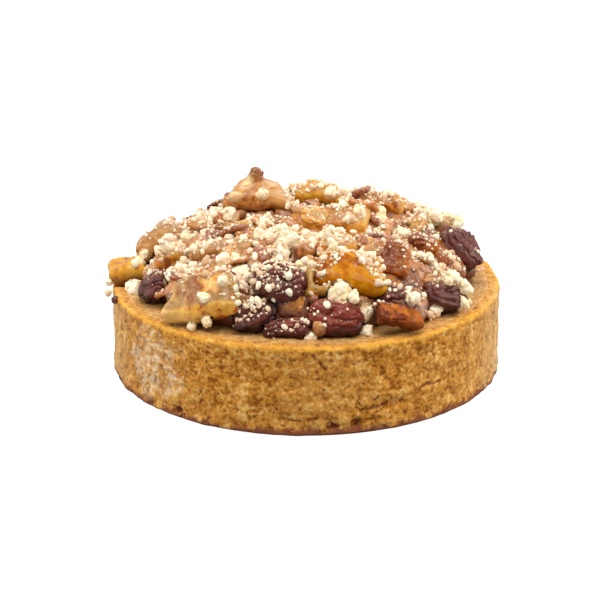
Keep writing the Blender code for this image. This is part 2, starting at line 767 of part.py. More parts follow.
def main():
    """Builds the tart: first the filling, which keeps its shape, then the shell and the fruit, each with room cut
    for what is there already, and the heap last."""
    clear_scene()
    materials = make_materials()
    crust, cream, fruit = crust_body(), cream_body(), fruit_bodies()
    heap = heap_body(fruit)
    bodies = [crust, cream, *fruit, heap]
    press_on_nuggets(bodies)
    strew_nuggets(bodies)
    on_cream = [lump.grown(CUT_GAP) for lump in cream.lumps[1:]]
    on_crust = [lump.grown(CUT_GAP) for lump in crust.lumps[1:]]
    make_part(cream, [], materials[cream.material])
    make_part(crust, on_cream, materials[crust.material])
    cuts = [tart_clearance(), *on_crust, *on_cream]
    rooms = list(cuts)
    for body in fruit:
        make_part(body, cuts, materials[body.material])
        cuts.extend(lump.grown(CUT_GAP) for lump in body.lumps)
        rooms.extend((lump.room or lump).grown(CUT_GAP) for lump in body.lumps)
    make_part(heap, rooms, materials[heap.material])


main()
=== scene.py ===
"""The looks of a small round apple tart: a shortcrust shell filled with almond cream, heaped with stewed
apple pieces and raisins, and strewn with crumble.

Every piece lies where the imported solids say. Sizes are millimetres, and the meshes are made in metres.
"""

import logging
import math
import random
from collections.abc import Iterable
from dataclasses import dataclass, replace
from enum import Enum
from itertools import product

import bmesh
import bpy
import numpy as np
from mathutils import Euler, Matrix, Vector, noise
from mathutils.bvhtree import BVHTree


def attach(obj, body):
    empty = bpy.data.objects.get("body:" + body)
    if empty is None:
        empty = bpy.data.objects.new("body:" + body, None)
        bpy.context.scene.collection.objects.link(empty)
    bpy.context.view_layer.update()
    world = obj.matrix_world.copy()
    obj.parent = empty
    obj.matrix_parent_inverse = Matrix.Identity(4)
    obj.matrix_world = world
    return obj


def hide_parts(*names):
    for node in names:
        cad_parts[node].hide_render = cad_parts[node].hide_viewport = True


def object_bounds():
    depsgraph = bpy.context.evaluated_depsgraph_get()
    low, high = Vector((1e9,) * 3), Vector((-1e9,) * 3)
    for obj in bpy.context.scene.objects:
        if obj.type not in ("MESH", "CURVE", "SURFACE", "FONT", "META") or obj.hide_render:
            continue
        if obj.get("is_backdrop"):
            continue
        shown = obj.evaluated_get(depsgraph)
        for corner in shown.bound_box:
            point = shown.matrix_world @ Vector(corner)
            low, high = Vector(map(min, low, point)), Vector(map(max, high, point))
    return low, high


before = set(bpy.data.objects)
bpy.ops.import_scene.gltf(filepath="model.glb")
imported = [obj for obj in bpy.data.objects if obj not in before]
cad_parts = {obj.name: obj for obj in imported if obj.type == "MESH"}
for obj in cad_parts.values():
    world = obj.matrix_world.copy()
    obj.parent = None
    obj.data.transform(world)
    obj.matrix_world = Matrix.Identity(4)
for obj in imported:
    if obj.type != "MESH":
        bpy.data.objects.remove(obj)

LOG = logging.getLogger("apple_tart")

MM = 0.001
FRONT = -90.0
GOLDEN_ANGLE = 180 * (3 - math.sqrt(5))
BODY = "root"
CAD_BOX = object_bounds()

Colour = tuple[float, float, float, float]
Place = tuple[float, float, float]


def seen(red: int, green: int, blue: int) -> Colour:
    """The linear colour of one given as it looks on a screen, with red, green and blue from 0 to 255."""
    parts = (part / 255 for part in (red, green, blue))
    return (*(part / 12.92 if part <= 0.04045 else ((part + 0.055) / 1.055) ** 2.4 for part in parts), 1.0)


def smooth_step(values: np.ndarray, low: float, high: float) -> np.ndarray:
    """Values as shares that rise softly from 0 at low to 1 at high, which may lie below low."""
    share = np.clip((values - low) / (high - low), 0, 1)
    return share * share * (3 - 2 * share)


class Relief:
    """Smooth unevenness in space, from slopes drawn at the corners of a grid."""

    CORNERS = tuple(product((0, 1), repeat=3))
    GAIN = 1.6

    def __init__(self, seed: int) -> None:
        """Draws the slopes."""
        draw = np.random.default_rng(seed)
        self.order = draw.permutation(256)
        slopes = draw.normal(size=(256, 3))
        self.slopes = slopes / np.linalg.norm(slopes, axis=1, keepdims=True)

    def at(self, points: np.ndarray, size: float | tuple) -> np.ndarray:
        """The unevenness at some points.

        Args:
            points: The points, one a row.
            size: The width of its lumps, one for all directions or one for each.

        Returns:
            A value for each point, mostly from -1 to 1.
        """
        scaled = points / np.asarray(size)
        cell = np.floor(scaled).astype(int)
        inside = scaled - cell
        fade = inside**3 * (inside * (inside * 6 - 15) + 10)
        total = np.zeros(len(points))
        for corner in self.CORNERS:
            x, y, z = ((cell + corner) & 255).T
            index = self.order[(self.order[(self.order[x] + y) & 255] + z) & 255]
            share = np.where(corner, fade, 1 - fade).prod(axis=1)
            total += share * (self.slopes[index] * (inside - corner)).sum(axis=1)
        return total * self.GAIN

    def ridges(self, points: np.ndarray, size: float | tuple) -> np.ndarray:
        """Sharp ridges between soft hollows at some points, from 0 to 1."""
        return 1 - np.minimum(1, 2 * np.abs(self.at(points, size)))

    def raised(self, points: np.ndarray, *layers: tuple) -> np.ndarray:
        """Layers of unevenness added up, each given by how high it is and how wide its lumps are."""
        return sum(high * self.at(points, size) for high, size in layers)


class Wiring:
    """The nodes of a material or of a group, added and linked in short calls."""

    def __init__(self, tree: bpy.types.NodeTree) -> None:
        """Starts on a node tree."""
        self.tree = tree

    def add(self, kind: str, feeds: dict, **options: object) -> bpy.types.Node:
        """Adds a node.

        Args:
            kind: Its type, without the words that all shader nodes start with.
            feeds: For each of its sockets, by name or number, a value or the socket to link.
            options: Its own settings.

        Returns:
            The node.
        """
        node = self.tree.nodes.new(f"ShaderNode{kind}")
        for name, value in options.items():
            setattr(node, name, value)
        for name, value in feeds.items():
            self.feed(node.inputs[name], value)
        return node

    def feed(self, socket: bpy.types.NodeSocket, value: object) -> None:
        """Links a socket to another, or sets its value."""
        if isinstance(value, bpy.types.NodeSocket):
            self.tree.links.new(value, socket)
        else:
            socket.default_value = value

    def blend(self, share: object, first: object, second: object, mode: str = "MIX") -> bpy.types.NodeSocket:
        """Mixes two colours, with this share of the second."""
        feeds = {0: share, 6: first, 7: second}
        return self.add("Mix", feeds, data_type="RGBA", blend_type=mode).outputs[2]

    def level(self, value: object, low: float, high: float, top: float = 1.0) -> bpy.types.NodeSocket:
        """Turns a value into a share that rises softly from 0 at low to its top at high."""
        feeds = {"Value": value, "From Min": low, "From Max": high, "To Max": top}
        return self.add("MapRange", feeds, interpolation_type="SMOOTHSTEP").outputs[0]

    def spread(self, value: object, low: float, high: float) -> bpy.types.NodeSocket:
        """Moves a value that runs from 0 to 1 into other limits."""
        return self.add("MapRange", {"Value": value, "To Min": low, "To Max": high}).outputs[0]

    def maths(self, operation: str, first: object, second: object) -> bpy.types.NodeSocket:
        """One sum on two values."""
        return self.add("Math", {0: first, 1: second}, operation=operation).outputs[0]

    def painted(self, name: str) -> bpy.types.NodeSocket:
        """The mask of that name, which the mesh holds."""
        return self.add("Attribute", {}, attribute_name=name).outputs["Fac"]

    def places(self, size: object) -> bpy.types.NodeSocket:
        """Places on the object.

        Args:
            size: The length that counts as 1, in millimetres.

        Returns:
            The socket with the places.
        """
        own = self.add("TexCoord", {}).outputs["Object"]
        scale = self.maths("DIVIDE", 1 / MM, size)
        return self.add("VectorMath", {0: own, "Scale": scale}, operation="SCALE").outputs[0]

    def cloud(self, size: object, detail: float = 2.0) -> bpy.types.NodeSocket:
        """Soft noise, with clouds this many millimetres wide and this many finer layers in them."""
        return self.add("TexNoise", {"Vector": self.places(size), "Scale": 1.0, "Detail": detail}).outputs[0]

    def group(self, shared: bpy.types.NodeTree, feeds: dict) -> bpy.types.Node:
        """Places a shared effect with its own values."""
        node = self.tree.nodes.new("ShaderNodeGroup")
        node.node_tree = shared
        for name, value in feeds.items():
            self.feed(node.inputs[name], value)
        return node


class Kind(Enum):
    """What a socket of a shared effect carries."""

    NUMBER = "NodeSocketFloat"
    COLOUR = "NodeSocketColor"


class SharedEffect:
    """A node group that more than one material uses, built the first time that it is asked for."""

    name = ""
    takes: dict[str, Kind] = {}
    gives: dict[str, Kind] = {}

    @classmethod
    def tree(cls) -> bpy.types.NodeTree:
        """The group's node tree."""
        found = bpy.data.node_groups.get(cls.name)
        if found:
            return found
        tree = bpy.data.node_groups.new(cls.name, "ShaderNodeTree")
        for name, kind in cls.takes.items():
            tree.interface.new_socket(name, in_out="INPUT", socket_type=kind.value)
        for name, kind in cls.gives.items():
            tree.interface.new_socket(name, in_out="OUTPUT", socket_type=kind.value)
        source = tree.nodes.new("NodeGroupInput").outputs
        results = cls.wire(Wiring(tree), source)
        sink = tree.nodes.new("NodeGroupOutput").inputs
        for name, socket in results.items():
            tree.links.new(socket, sink[name])
        return tree

    @classmethod
    def wire(cls, wiring: Wiring, source: bpy.types.NodeOutputs) -> dict[str, bpy.types.NodeSocket]:
        """Adds the group's own nodes.

        Args:
            wiring: The group's nodes.
            source: The group's inputs.

        Returns:
            For each output of the group, the socket that feeds it.
        """
        raise NotImplementedError


class Mottle(SharedEffect):
    """Uneven colour in soft patches with finer ones in them, as on anything baked or stewed."""

    name = "mottle"
    takes = {"Size": Kind.NUMBER, "Dark": Kind.COLOUR, "Middle": Kind.COLOUR, "Light": Kind.COLOUR}
    gives = {"Colour": Kind.COLOUR, "Height": Kind.NUMBER}

    @classmethod
    def wire(cls, wiring: Wiring, source: bpy.types.NodeOutputs) -> dict[str, bpy.types.NodeSocket]:
        """Adds the group's own nodes."""
        broad = wiring.cloud(source["Size"], 3.0)
        fine = wiring.cloud(wiring.maths("DIVIDE", source["Size"], 3.3), 3.0)
        both = wiring.maths("MULTIPLY", wiring.maths("ADD", broad, fine), 0.5)
        low = wiring.blend(wiring.level(both, 0.38, 0.5), source["Dark"], source["Middle"])
        return {"Colour": wiring.blend(wiring.level(both, 0.5, 0.64), low, source["Light"]), "Height": both}


class Pores(SharedEffect):
    """Small crooked holes, in some of the cells of an uneven net."""

    name = "pores"
    takes = {"Size": Kind.NUMBER, "Cover": Kind.NUMBER}
    gives = {"Mask": Kind.NUMBER}

    @classmethod
    def wire(cls, wiring: Wiring, source: bpy.types.NodeOutputs) -> dict[str, bpy.types.NodeSocket]:
        """Adds the group's own nodes."""
        places = wiring.places(source["Size"])
        swirl = wiring.add("TexNoise", {"Vector": places, "Scale": 1.7, "Detail": 2.0}).outputs["Color"]
        places = wiring.add("VectorMath", {0: swirl, 1: places}, operation="ADD").outputs[0]
        cells = wiring.add("TexVoronoi", {"Vector": places, "Scale": 1.0})
        chance = wiring.add("SeparateColor", {0: cells.outputs["Color"]})
        chosen = wiring.maths("LESS_THAN", chance.outputs[0], source["Cover"])
        near = wiring.maths("SUBTRACT", 1.0, wiring.level(cells.outputs["Distance"], 0.12, 0.42))
        return {"Mask": wiring.maths("MULTIPLY", chosen, near)}


class Dusting(SharedEffect):
    """Crumbs too small to be pieces, lying as specks and as a thin film."""

    name = "dusting"
    takes = {"Colour": Kind.COLOUR, "Dust": Kind.COLOUR, "Amount": Kind.NUMBER, "Size": Kind.NUMBER}
    gives = {"Colour": Kind.COLOUR, "Mask": Kind.NUMBER}

    @classmethod
    def wire(cls, wiring: Wiring, source: bpy.types.NodeOutputs) -> dict[str, bpy.types.NodeSocket]:
        """Adds the group's own nodes."""
        feeds = {"Size": source["Size"], "Cover": source["Amount"]}
        specks = wiring.group(Pores.tree(), feeds).outputs["Mask"]
        film = wiring.cloud(wiring.maths("MULTIPLY", source["Size"], 2.0), 4.0)
        film = wiring.maths("MULTIPLY", wiring.level(film, 0.4, 0.7, 0.5), source["Amount"])
        mask = wiring.maths("MAXIMUM", specks, film)
        return {"Colour": wiring.blend(mask, source["Colour"], source["Dust"]), "Mask": mask}


CRUMB_PALE = seen(252, 243, 218)
CRUMB_YELLOW = seen(250, 230, 182)
CRUMB_PINK = seen(242, 214, 186)
CRUMB_TAN = seen(222, 184, 150)
SMALL_CRUMBS = (CRUMB_PALE, CRUMB_PALE, CRUMB_PINK, CRUMB_TAN)
POWDER = seen(194, 159, 126)
# Painted shade: the dark red brown painted where pieces lie deep in the heap's gaps.
GAP_SHADE = seen(84, 30, 10)
WHITE = seen(255, 255, 255)


@dataclass(frozen=True)
class Gloss:
    """The parts of a finish that are the same all over it.

    Attributes:
        soaked: How much light goes in and comes out elsewhere.
        depth: How far that light goes, in millimetres.
        stain: How far its red, green and blue go, as shares of the depth.
        specular: The strength of its shine.
        coat_roughness: How rough its wet film is.
    """

    soaked: float = 0.0
    depth: float = 1.0
    stain: Place = (1.0, 0.5, 0.25)
    specular: float = 0.5
    coat_roughness: float = 0.25


class Finish:
    """A material under construction: its wiring, its shader and what feeds them."""

    def __init__(self, name: str, gloss: Gloss) -> None:
        """Makes the material with what is the same all over it."""
        self.material = bpy.data.materials.new(name)
        self.material.use_nodes = True
        self.wiring = Wiring(self.material.node_tree)
        self.shader = self.material.node_tree.nodes["Principled BSDF"]
        sockets = self.shader.inputs
        sockets["Subsurface Weight"].default_value = gloss.soaked
        sockets["Subsurface Scale"].default_value = gloss.depth * MM
        sockets["Subsurface Radius"].default_value = gloss.stain
        sockets["Specular IOR Level"].default_value = gloss.specular
        sockets["Coat Roughness"].default_value = gloss.coat_roughness

    def surface(self, colour: object, roughness: object, coat: object = 0.0) -> None:
        """Feeds the shader's colour, roughness and wet film."""
        self.wiring.feed(self.shader.inputs["Base Color"], colour)
        self.wiring.feed(self.shader.inputs["Roughness"], roughness)
        self.wiring.feed(self.shader.inputs["Coat Weight"], coat)

    def bump(self, height: object, depth: float, strength: float) -> None:
        """Feeds the shader's fine relief: heights from 0 to 1, depth in millimetres, and how much shows."""
        feeds = {"Height": height, "Distance": depth * MM, "Strength": strength}
        self.wiring.feed(self.shader.inputs["Normal"], self.wiring.add("Bump", feeds).outputs[0])

    def mottled(self, size: float, dark: Colour, middle: Colour, light: Colour) -> bpy.types.Node:
        """Places the uneven colour of baked and stewed things, with patches of a size in millimetres."""
        feeds = {"Size": size, "Dark": dark, "Middle": middle, "Light": light}
        return self.wiring.group(Mottle.tree(), feeds)

    def holes(self, size: float, cover: float) -> bpy.types.NodeSocket:
        """Places small crooked holes, in this share of the cells of a net of this size in millimetres."""
        return self.wiring.group(Pores.tree(), {"Size": size, "Cover": cover}).outputs["Mask"]

    def dusted(self, colour: object, dust: Colour, amount: object, size: float) -> bpy.types.Node:
        """Strews specks and a film of dust over a colour."""
        feeds = {"Colour": colour, "Dust": dust, "Amount": amount, "Size": size}
        return self.wiring.group(Dusting.tree(), feeds)

    def layered(self, colour: object, layers: dict[str, Colour]) -> object:
        """Lays colours over another one after the other, each where the mesh's mask of that name says."""
        for mask, layer in layers.items():
            colour = self.wiring.blend(self.wiring.painted(mask), colour, layer)
        return colour

    def strewn(self, colour: object, size: float) -> tuple:
        """Lays powder over a colour, and the colour of crumble where nuggets are fused to the piece.

        Args:
            colour: The colour under them.
            size: The width of the specks of powder, in millimetres.

        Returns:
            The colour, the share that is dry, and the share of powder.
        """
        powdered = self.dusted(colour, POWDER, self.wiring.painted("dust"), size)
        crumb, powder = self.wiring.painted("crumb"), powdered.outputs["Mask"]
        colour = self.wiring.blend(crumb, powdered.outputs["Colour"], CRUMB_YELLOW)
        return colour, self.wiring.maths("MAXIMUM", powder, crumb), powder

    def toned(self, value: object, tones: Iterable[Colour]) -> bpy.types.NodeSocket:
        """Picks one of some colours, two or more, by a value from 0 to 1.

        Args:
            value: The value.
            tones: The colours, spread evenly over a ramp.

        Returns:
            The socket with the colour.
        """
        ramp = self.wiring.add("ValToRGB", {0: value})
        stops, tones = ramp.color_ramp.elements, list(tones)
        while len(stops) < len(tones):
            stops.new(0.5)
        for number, tone in enumerate(tones):
            stops[number].position = number / (len(tones) - 1)
            stops[number].color = tone
        return ramp.outputs[0]


@dataclass(frozen=True)
class CrustFinish:
    """Baked shortcrust: ochre, porous, with a dark foot and a patch of flour; its rim is lighter gold, partly
    baked colour and partly painted highlight; it has painted shade in its pits and along its base, and painted
    sheen in pale bands at its sides.
    """

    dark: Colour = seen(144, 84, 18)
    middle: Colour = seen(196, 130, 46)
    light: Colour = seen(230, 182, 104)
    # The colour of the painted shade in the pores, cracks and holes, and of the painted contact shadow along the
    # base.
    hole: Colour = seen(108, 48, 20)
    # The rim's lighter gold: partly the lip's baked colour, partly a painted highlight along its top edge.
    rim: Colour = seen(230, 168, 62)
    inside: Colour = seen(200, 146, 74)
    foot: Colour = seen(128, 70, 50)
    flour: Colour = seen(242, 224, 190)
    # Painted sheen: the colour of the pale bands at the wall's sides.
    pale: Colour = seen(222, 188, 136)
    grain_size: float = 2.3
    patch_size: float = 12.0
    patches: float = 0.12
    fleck_size: float = 1.1
    fleck_cover: float = 0.24
    flecks: float = 0.6
    grain_through: float = 0.35
    pore_size: float = 1.4
    pore_cover: float = 0.2
    pores: float = 0.65
    flour_film: float = 0.42
    flour_specks: float = 0.75
    speck_size: float = 0.9

    def material(self) -> bpy.types.Material:
        """Builds the material."""
        finish = Finish("shortcrust", Gloss(specular=0.12))
        wiring = finish.wiring
        grain = finish.mottled(self.grain_size, self.dark, self.middle, self.light)
        grained = grain.outputs["Colour"]
        patches = wiring.level(wiring.cloud(self.patch_size), 0.4, 0.65, self.patches)
        fresh = wiring.blend(patches, grained, self.light)
        flecks = finish.holes(self.fleck_size, self.fleck_cover)
        fresh = wiring.blend(wiring.maths("MULTIPLY", flecks, self.flecks), fresh, self.light)
        inside = wiring.blend(self.grain_through, self.inside, grained)
        rim = wiring.blend(self.grain_through, self.rim, grained)
        # The rim layer is partly a painted highlight, and the pale layer is painted sheen.
        layers = {"pale": self.pale, "inside": inside, "rim": rim, "foot": self.foot}
        colour = finish.layered(fresh, layers)
        # Painted shade: the pores, fewer of them on the rim, and the mesh's hole mask darken to the hole colour.
        pores = finish.holes(self.pore_size, self.pore_cover)
        pores = wiring.maths("MULTIPLY", pores, wiring.maths("SUBTRACT", self.pores, wiring.painted("rim")))
        colour = wiring.blend(wiring.maths("MAXIMUM", pores, wiring.painted("hole")), colour, self.hole)
        floury = wiring.painted("flour")
        colour = wiring.blend(wiring.maths("MULTIPLY", floury, self.flour_film), colour, self.flour)
        specks = wiring.maths("MULTIPLY", floury, self.flour_specks)
        floured = finish.dusted(colour, self.flour, specks, self.speck_size)
        finish.surface(floured.outputs["Colour"], wiring.spread(grain.outputs["Height"], 0.7, 0.95))
        finish.bump(wiring.maths("SUBTRACT", grain.outputs["Height"], pores), 0.35, 0.9)
        return finish.material


@dataclass(frozen=True)
class CreamFinish:
    """Baked almond cream: tan and matt, moist and browner where the fruit lies on it."""

    dark: Colour = seen(164, 110, 50)
    middle: Colour = seen(194, 140, 72)
    light: Colour = seen(216, 174, 112)
    moist: Colour = seen(184, 124, 62)
    dust: Colour = seen(240, 222, 186)
    grain_size: float = 1.8
    speck_size: float = 0.5
    pore_size: float = 0.9
    pore_cover: float = 0.25

    def material(self) -> bpy.types.Material:
        """Builds the material."""
        finish = Finish("baked_almond_cream", Gloss(soaked=0.2, depth=1.0, specular=0.35))
        wiring = finish.wiring
        grain = finish.mottled(self.grain_size, self.dark, self.middle, self.light)
        colour = finish.layered(grain.outputs["Colour"], {"moist": self.moist})
        dusted = finish.dusted(colour, self.dust, wiring.painted("dust"), self.speck_size)
        pores = finish.holes(self.pore_size, self.pore_cover)
        finish.surface(dusted.outputs["Colour"], wiring.spread(grain.outputs["Height"], 0.55, 0.85))
        finish.bump(wiring.maths("SUBTRACT", grain.outputs["Height"], pores), 0.2, 0.7)
        return finish.material


@dataclass(frozen=True)
class FruitColours:
    """The colours of a piece of fruit: its deep colour, also painted as shade in its hollows, its flesh, its light
    colour, also painted as highlight on its thin edges and on its lit side, and its browned top.
    """

    deep: Colour
    flesh: Colour
    light: Colour
    top: Colour


class AppleTone(Enum):
    """How far a piece of apple has browned and soaked up syrup."""

    GOLD = FruitColours(seen(142, 66, 0), seen(178, 102, 0), seen(206, 145, 8), seen(186, 112, 8))
    HONEY = FruitColours(seen(134, 66, 14), seen(188, 122, 54), seen(216, 168, 96), seen(184, 132, 78))
    YELLOW = FruitColours(seen(160, 86, 8), seen(204, 142, 30), seen(228, 180, 74), seen(196, 136, 44))
    AMBER = FruitColours(seen(136, 64, 8), seen(198, 122, 30), seen(226, 170, 72), seen(166, 110, 56))
    TAN = FruitColours(seen(126, 72, 30), seen(188, 134, 74), seen(216, 172, 114), seen(160, 114, 74))
    RUSSET = FruitColours(seen(72, 22, 8), seen(120, 54, 24), seen(184, 104, 24), seen(116, 64, 42))
    PALE = FruitColours(seen(180, 86, 18), seen(226, 168, 66), seen(244, 206, 122), seen(112, 70, 44))
    OLIVE = FruitColours(seen(128, 84, 24), seen(190, 140, 56), seen(218, 178, 100), seen(170, 128, 80))


@dataclass(frozen=True)
class AppleFinish:
    """Stewed apple: see-through flesh with a wet film, powdered with crumbs where it looks up, with painted shade
    in its hollows and the heap's gaps and painted highlight on its edges and one side.
    """

    tone: AppleTone
    speck_size: float = 0.55
    fibre_size: float = 0.9

    @property
    def dull(self) -> bool:
        """Whether its film of syrup is thin, as it is on the pieces with the strongest colour."""
        return self.tone in (AppleTone.GOLD, AppleTone.RUSSET)

    @property
    def patch_size(self) -> float:
        """The width of its patches of colour, in millimetres."""
        return 2.8 if self.tone is AppleTone.HONEY else 4.5

    def material(self) -> bpy.types.Material:
        """Builds the material."""
        specular, coat = (0.06, 0.12) if self.dull else (0.2, 0.25)
        gloss = Gloss(0.55, 1.8, stain=(1.0, 0.45, 0.12), specular=specular, coat_roughness=0.2)
        finish = Finish(f"stewed_apple_{self.tone.name.lower()}", gloss)
        wiring, colours = finish.wiring, self.tone.value
        flesh = finish.mottled(self.patch_size, colours.deep, colours.flesh, colours.light)
        # Painted light: the light colour on one side and on the edges is painted highlight; the deep colour in the
        # hollows and the gap colour are painted shade.
        layers = {"lit_side": colours.light, "hollow": colours.deep, "edge": colours.light, "top": colours.top}
        colour = finish.layered(flesh.outputs["Colour"], {**layers, "gap": GAP_SHADE})
        colour, dry, powder = finish.strewn(colour, self.speck_size)
        finish.surface(colour, wiring.spread(dry, 0.3, 0.85), wiring.spread(dry, coat, 0.0))
        fibres, powder = wiring.cloud(self.fibre_size, 3.0), wiring.maths("MULTIPLY", powder, 0.8)
        finish.bump(wiring.maths("ADD", fibres, powder), 0.12, 0.6)
        return finish.material


@dataclass(frozen=True)
class RaisinFinish:
    """A plumped raisin: dark purple brown skin, some redder, with a painted highlight on its ridges, painted shade
    in its folds and in the heap's gaps, and crumbs in its folds.
    """

    redness: float
    dark: Colour = seen(42, 15, 13)
    middle: Colour = seen(94, 45, 37)
    # Painted highlight on the ridges and edges.
    light: Colour = seen(164, 112, 92)
    red: Colour = seen(134, 44, 20)
    shade: Colour = seen(26, 8, 8)
    patch_size: float = 2.6
    speck_size: float = 0.5
    wrinkle_size: float = 0.6

    def material(self) -> bpy.types.Material:
        """Builds the material."""
        gloss = Gloss(0.12, 0.8, stain=(1.0, 0.3, 0.2), specular=0.3, coat_roughness=0.35)
        finish = Finish(f"raisin_skin_{round(self.redness * 100)}", gloss)
        wiring = finish.wiring
        skin = finish.mottled(self.patch_size, self.dark, self.middle, self.middle)
        colour = wiring.blend(self.redness, skin.outputs["Colour"], self.red)
        # Painted shade in the hollows and the heap's gaps, and a painted highlight on the ridges and edges.
        colour = finish.layered(colour, {"hollow": self.dark, "edge": self.light, "gap": self.shade})
        colour, dry, powder = finish.strewn(colour, self.speck_size)
        finish.surface(colour, wiring.spread(dry, 0.48, 0.85), wiring.spread(dry, 0.15, 0.0))
        finish.bump(wiring.maths("ADD", wiring.cloud(self.wrinkle_size, 3.0), powder), 0.2, 0.8)
        return finish.material


@dataclass(frozen=True)
class CompoteFinish:
    """The small stewed bits between the pieces: each cell of the heap has its own tone, with painted shade in its
    hollows and in the heap's gaps.
    """

    tones: tuple = (
        seen(112, 54, 26),
        seen(170, 100, 44),
        seen(206, 146, 82),
        seen(214, 140, 44),
        seen(178, 122, 80),
    )
    shades: tuple = (seen(150, 120, 100), seen(235, 225, 215), WHITE)
    # The colour of the painted shade in the hollows.
    deep: Colour = seen(84, 40, 22)
    cell_size: float = 4.2
    patch_size: float = 2.0
    speck_size: float = 0.55
    fibre_size: float = 0.8

    def material(self) -> bpy.types.Material:
        """Builds the material."""
        gloss = Gloss(soaked=0.4, depth=1.6, stain=(1.0, 0.45, 0.18), coat_roughness=0.25)
        finish = Finish("compote", gloss)
        wiring = finish.wiring
        cells = wiring.add("TexVoronoi", {"Vector": wiring.places(self.cell_size), "Scale": 1.0})
        chance = wiring.add("SeparateColor", {0: cells.outputs["Color"]}).outputs[0]
        mottle = finish.mottled(self.patch_size, *self.shades)
        colour = wiring.blend(1.0, finish.toned(chance, self.tones), mottle.outputs["Colour"], "MULTIPLY")
        # Painted shade in the hollows and in the heap's gaps.
        colour = finish.layered(colour, {"hollow": self.deep, "gap": GAP_SHADE})
        colour, dry, powder = finish.strewn(colour, self.speck_size)
        finish.surface(colour, wiring.spread(dry, 0.35, 0.85), wiring.spread(dry, 0.35, 0.0))
        finish.bump(wiring.maths("ADD", wiring.cloud(self.fibre_size, 3.0), powder), 0.15, 0.7)
        return finish.material


@dataclass(frozen=True)
class ShredFinish:
    """Small shreds of apple and skin, each with its own tone, with painted shade where they lie deep in the heap's
    gaps.
    """

    tones: tuple = (
        seen(104, 38, 18),
        seen(160, 84, 30),
        seen(206, 132, 44),
        seen(196, 140, 84),
        seen(226, 158, 44),
        seen(234, 186, 106),
    )
    shades: tuple = (seen(190, 165, 150), seen(240, 235, 228), WHITE)
    patch_size: float = 1.6
    speck_size: float = 0.5
    fibre_size: float = 0.7

    def material(self) -> bpy.types.Material:
        """Builds the material."""
        gloss = Gloss(soaked=0.5, depth=1.2, stain=(1.0, 0.5, 0.2), coat_roughness=0.22)
        finish = Finish("apple_shreds", gloss)
        wiring = finish.wiring
        tone = finish.toned(wiring.painted("tint"), self.tones)
        mottle = finish.mottled(self.patch_size, *self.shades)
        # Painted shade where the shreds lie deep in the heap's gaps.
        colour = finish.layered(wiring.blend(1.0, tone, mottle.outputs["Colour"], "MULTIPLY"), {"gap": GAP_SHADE})
        powdered = finish.dusted(colour, POWDER, wiring.painted("dust"), self.speck_size)
        colour, dry = powdered.outputs["Colour"], powdered.outputs["Mask"]
        finish.surface(colour, wiring.spread(dry, 0.32, 0.85), wiring.spread(dry, 0.4, 0.0))
        finish.bump(wiring.cloud(self.fibre_size, 3.0), 0.1, 0.6)
        return finish.material


@dataclass(frozen=True)
class CrumbFinish:
    """Crumble: pale, dry and crumbly, some of it yellower or pinker, with painted shade, darker and warmer, in its
    clefts and underneath.
    """

    name: str
    grain_size: float
    soaked: float
    tones: tuple = (CRUMB_PALE, CRUMB_PALE, CRUMB_YELLOW, CRUMB_PINK)
    shades: tuple = (seen(240, 226, 204), seen(252, 248, 242), WHITE)
    # The colour of the painted shade in the clefts and underneath.
    cleft: Colour = seen(236, 196, 140)

    def material(self) -> bpy.types.Material:
        """Builds the material."""
        gloss = Gloss(soaked=self.soaked, depth=0.5, stain=(1.0, 0.75, 0.5), specular=0.25)
        finish = Finish(self.name, gloss)
        wiring = finish.wiring
        tone = finish.toned(wiring.painted("tint"), self.tones)
        grain = finish.mottled(self.grain_size, *self.shades)
        colour = wiring.blend(1.0, tone, grain.outputs["Colour"], "MULTIPLY")
        # Painted shade where the mesh's mask says.
        colour = finish.layered(colour, {"cleft": self.cleft})
        finish.surface(colour, wiring.spread(grain.outputs["Height"], 0.7, 0.95))
        finish.bump(grain.outputs["Height"], 0.1, 0.7)
        return finish.material


@dataclass(frozen=True)
class FloorFinish:
    """The pale floor, which glows to the eye like a light table and throws little light back."""

    pale: Colour = seen(160, 160, 160)
    paler: Colour = seen(164, 164, 164)
    glow: float = 0.95
    cloud_size: float = 400.0

    def material(self) -> bpy.types.Material:
        """Builds the material."""
        finish = Finish("studio_floor", Gloss(specular=0.1))
        wiring = finish.wiring
        cloud = wiring.cloud(self.cloud_size)
        colour = wiring.blend(wiring.level(cloud, 0.3, 0.8), self.pale, self.paler)
        finish.surface(colour, wiring.spread(cloud, 0.8, 0.95))
        eye = wiring.add("LightPath", {}).outputs["Is Camera Ray"]
        glow = wiring.blend(eye, (0, 0, 0, 1), (1, 1, 1, 1))
        wiring.feed(finish.shader.inputs["Emission Color"], glow)
        finish.shader.inputs["Emission Strength"].default_value = self.glow
        return finish.material


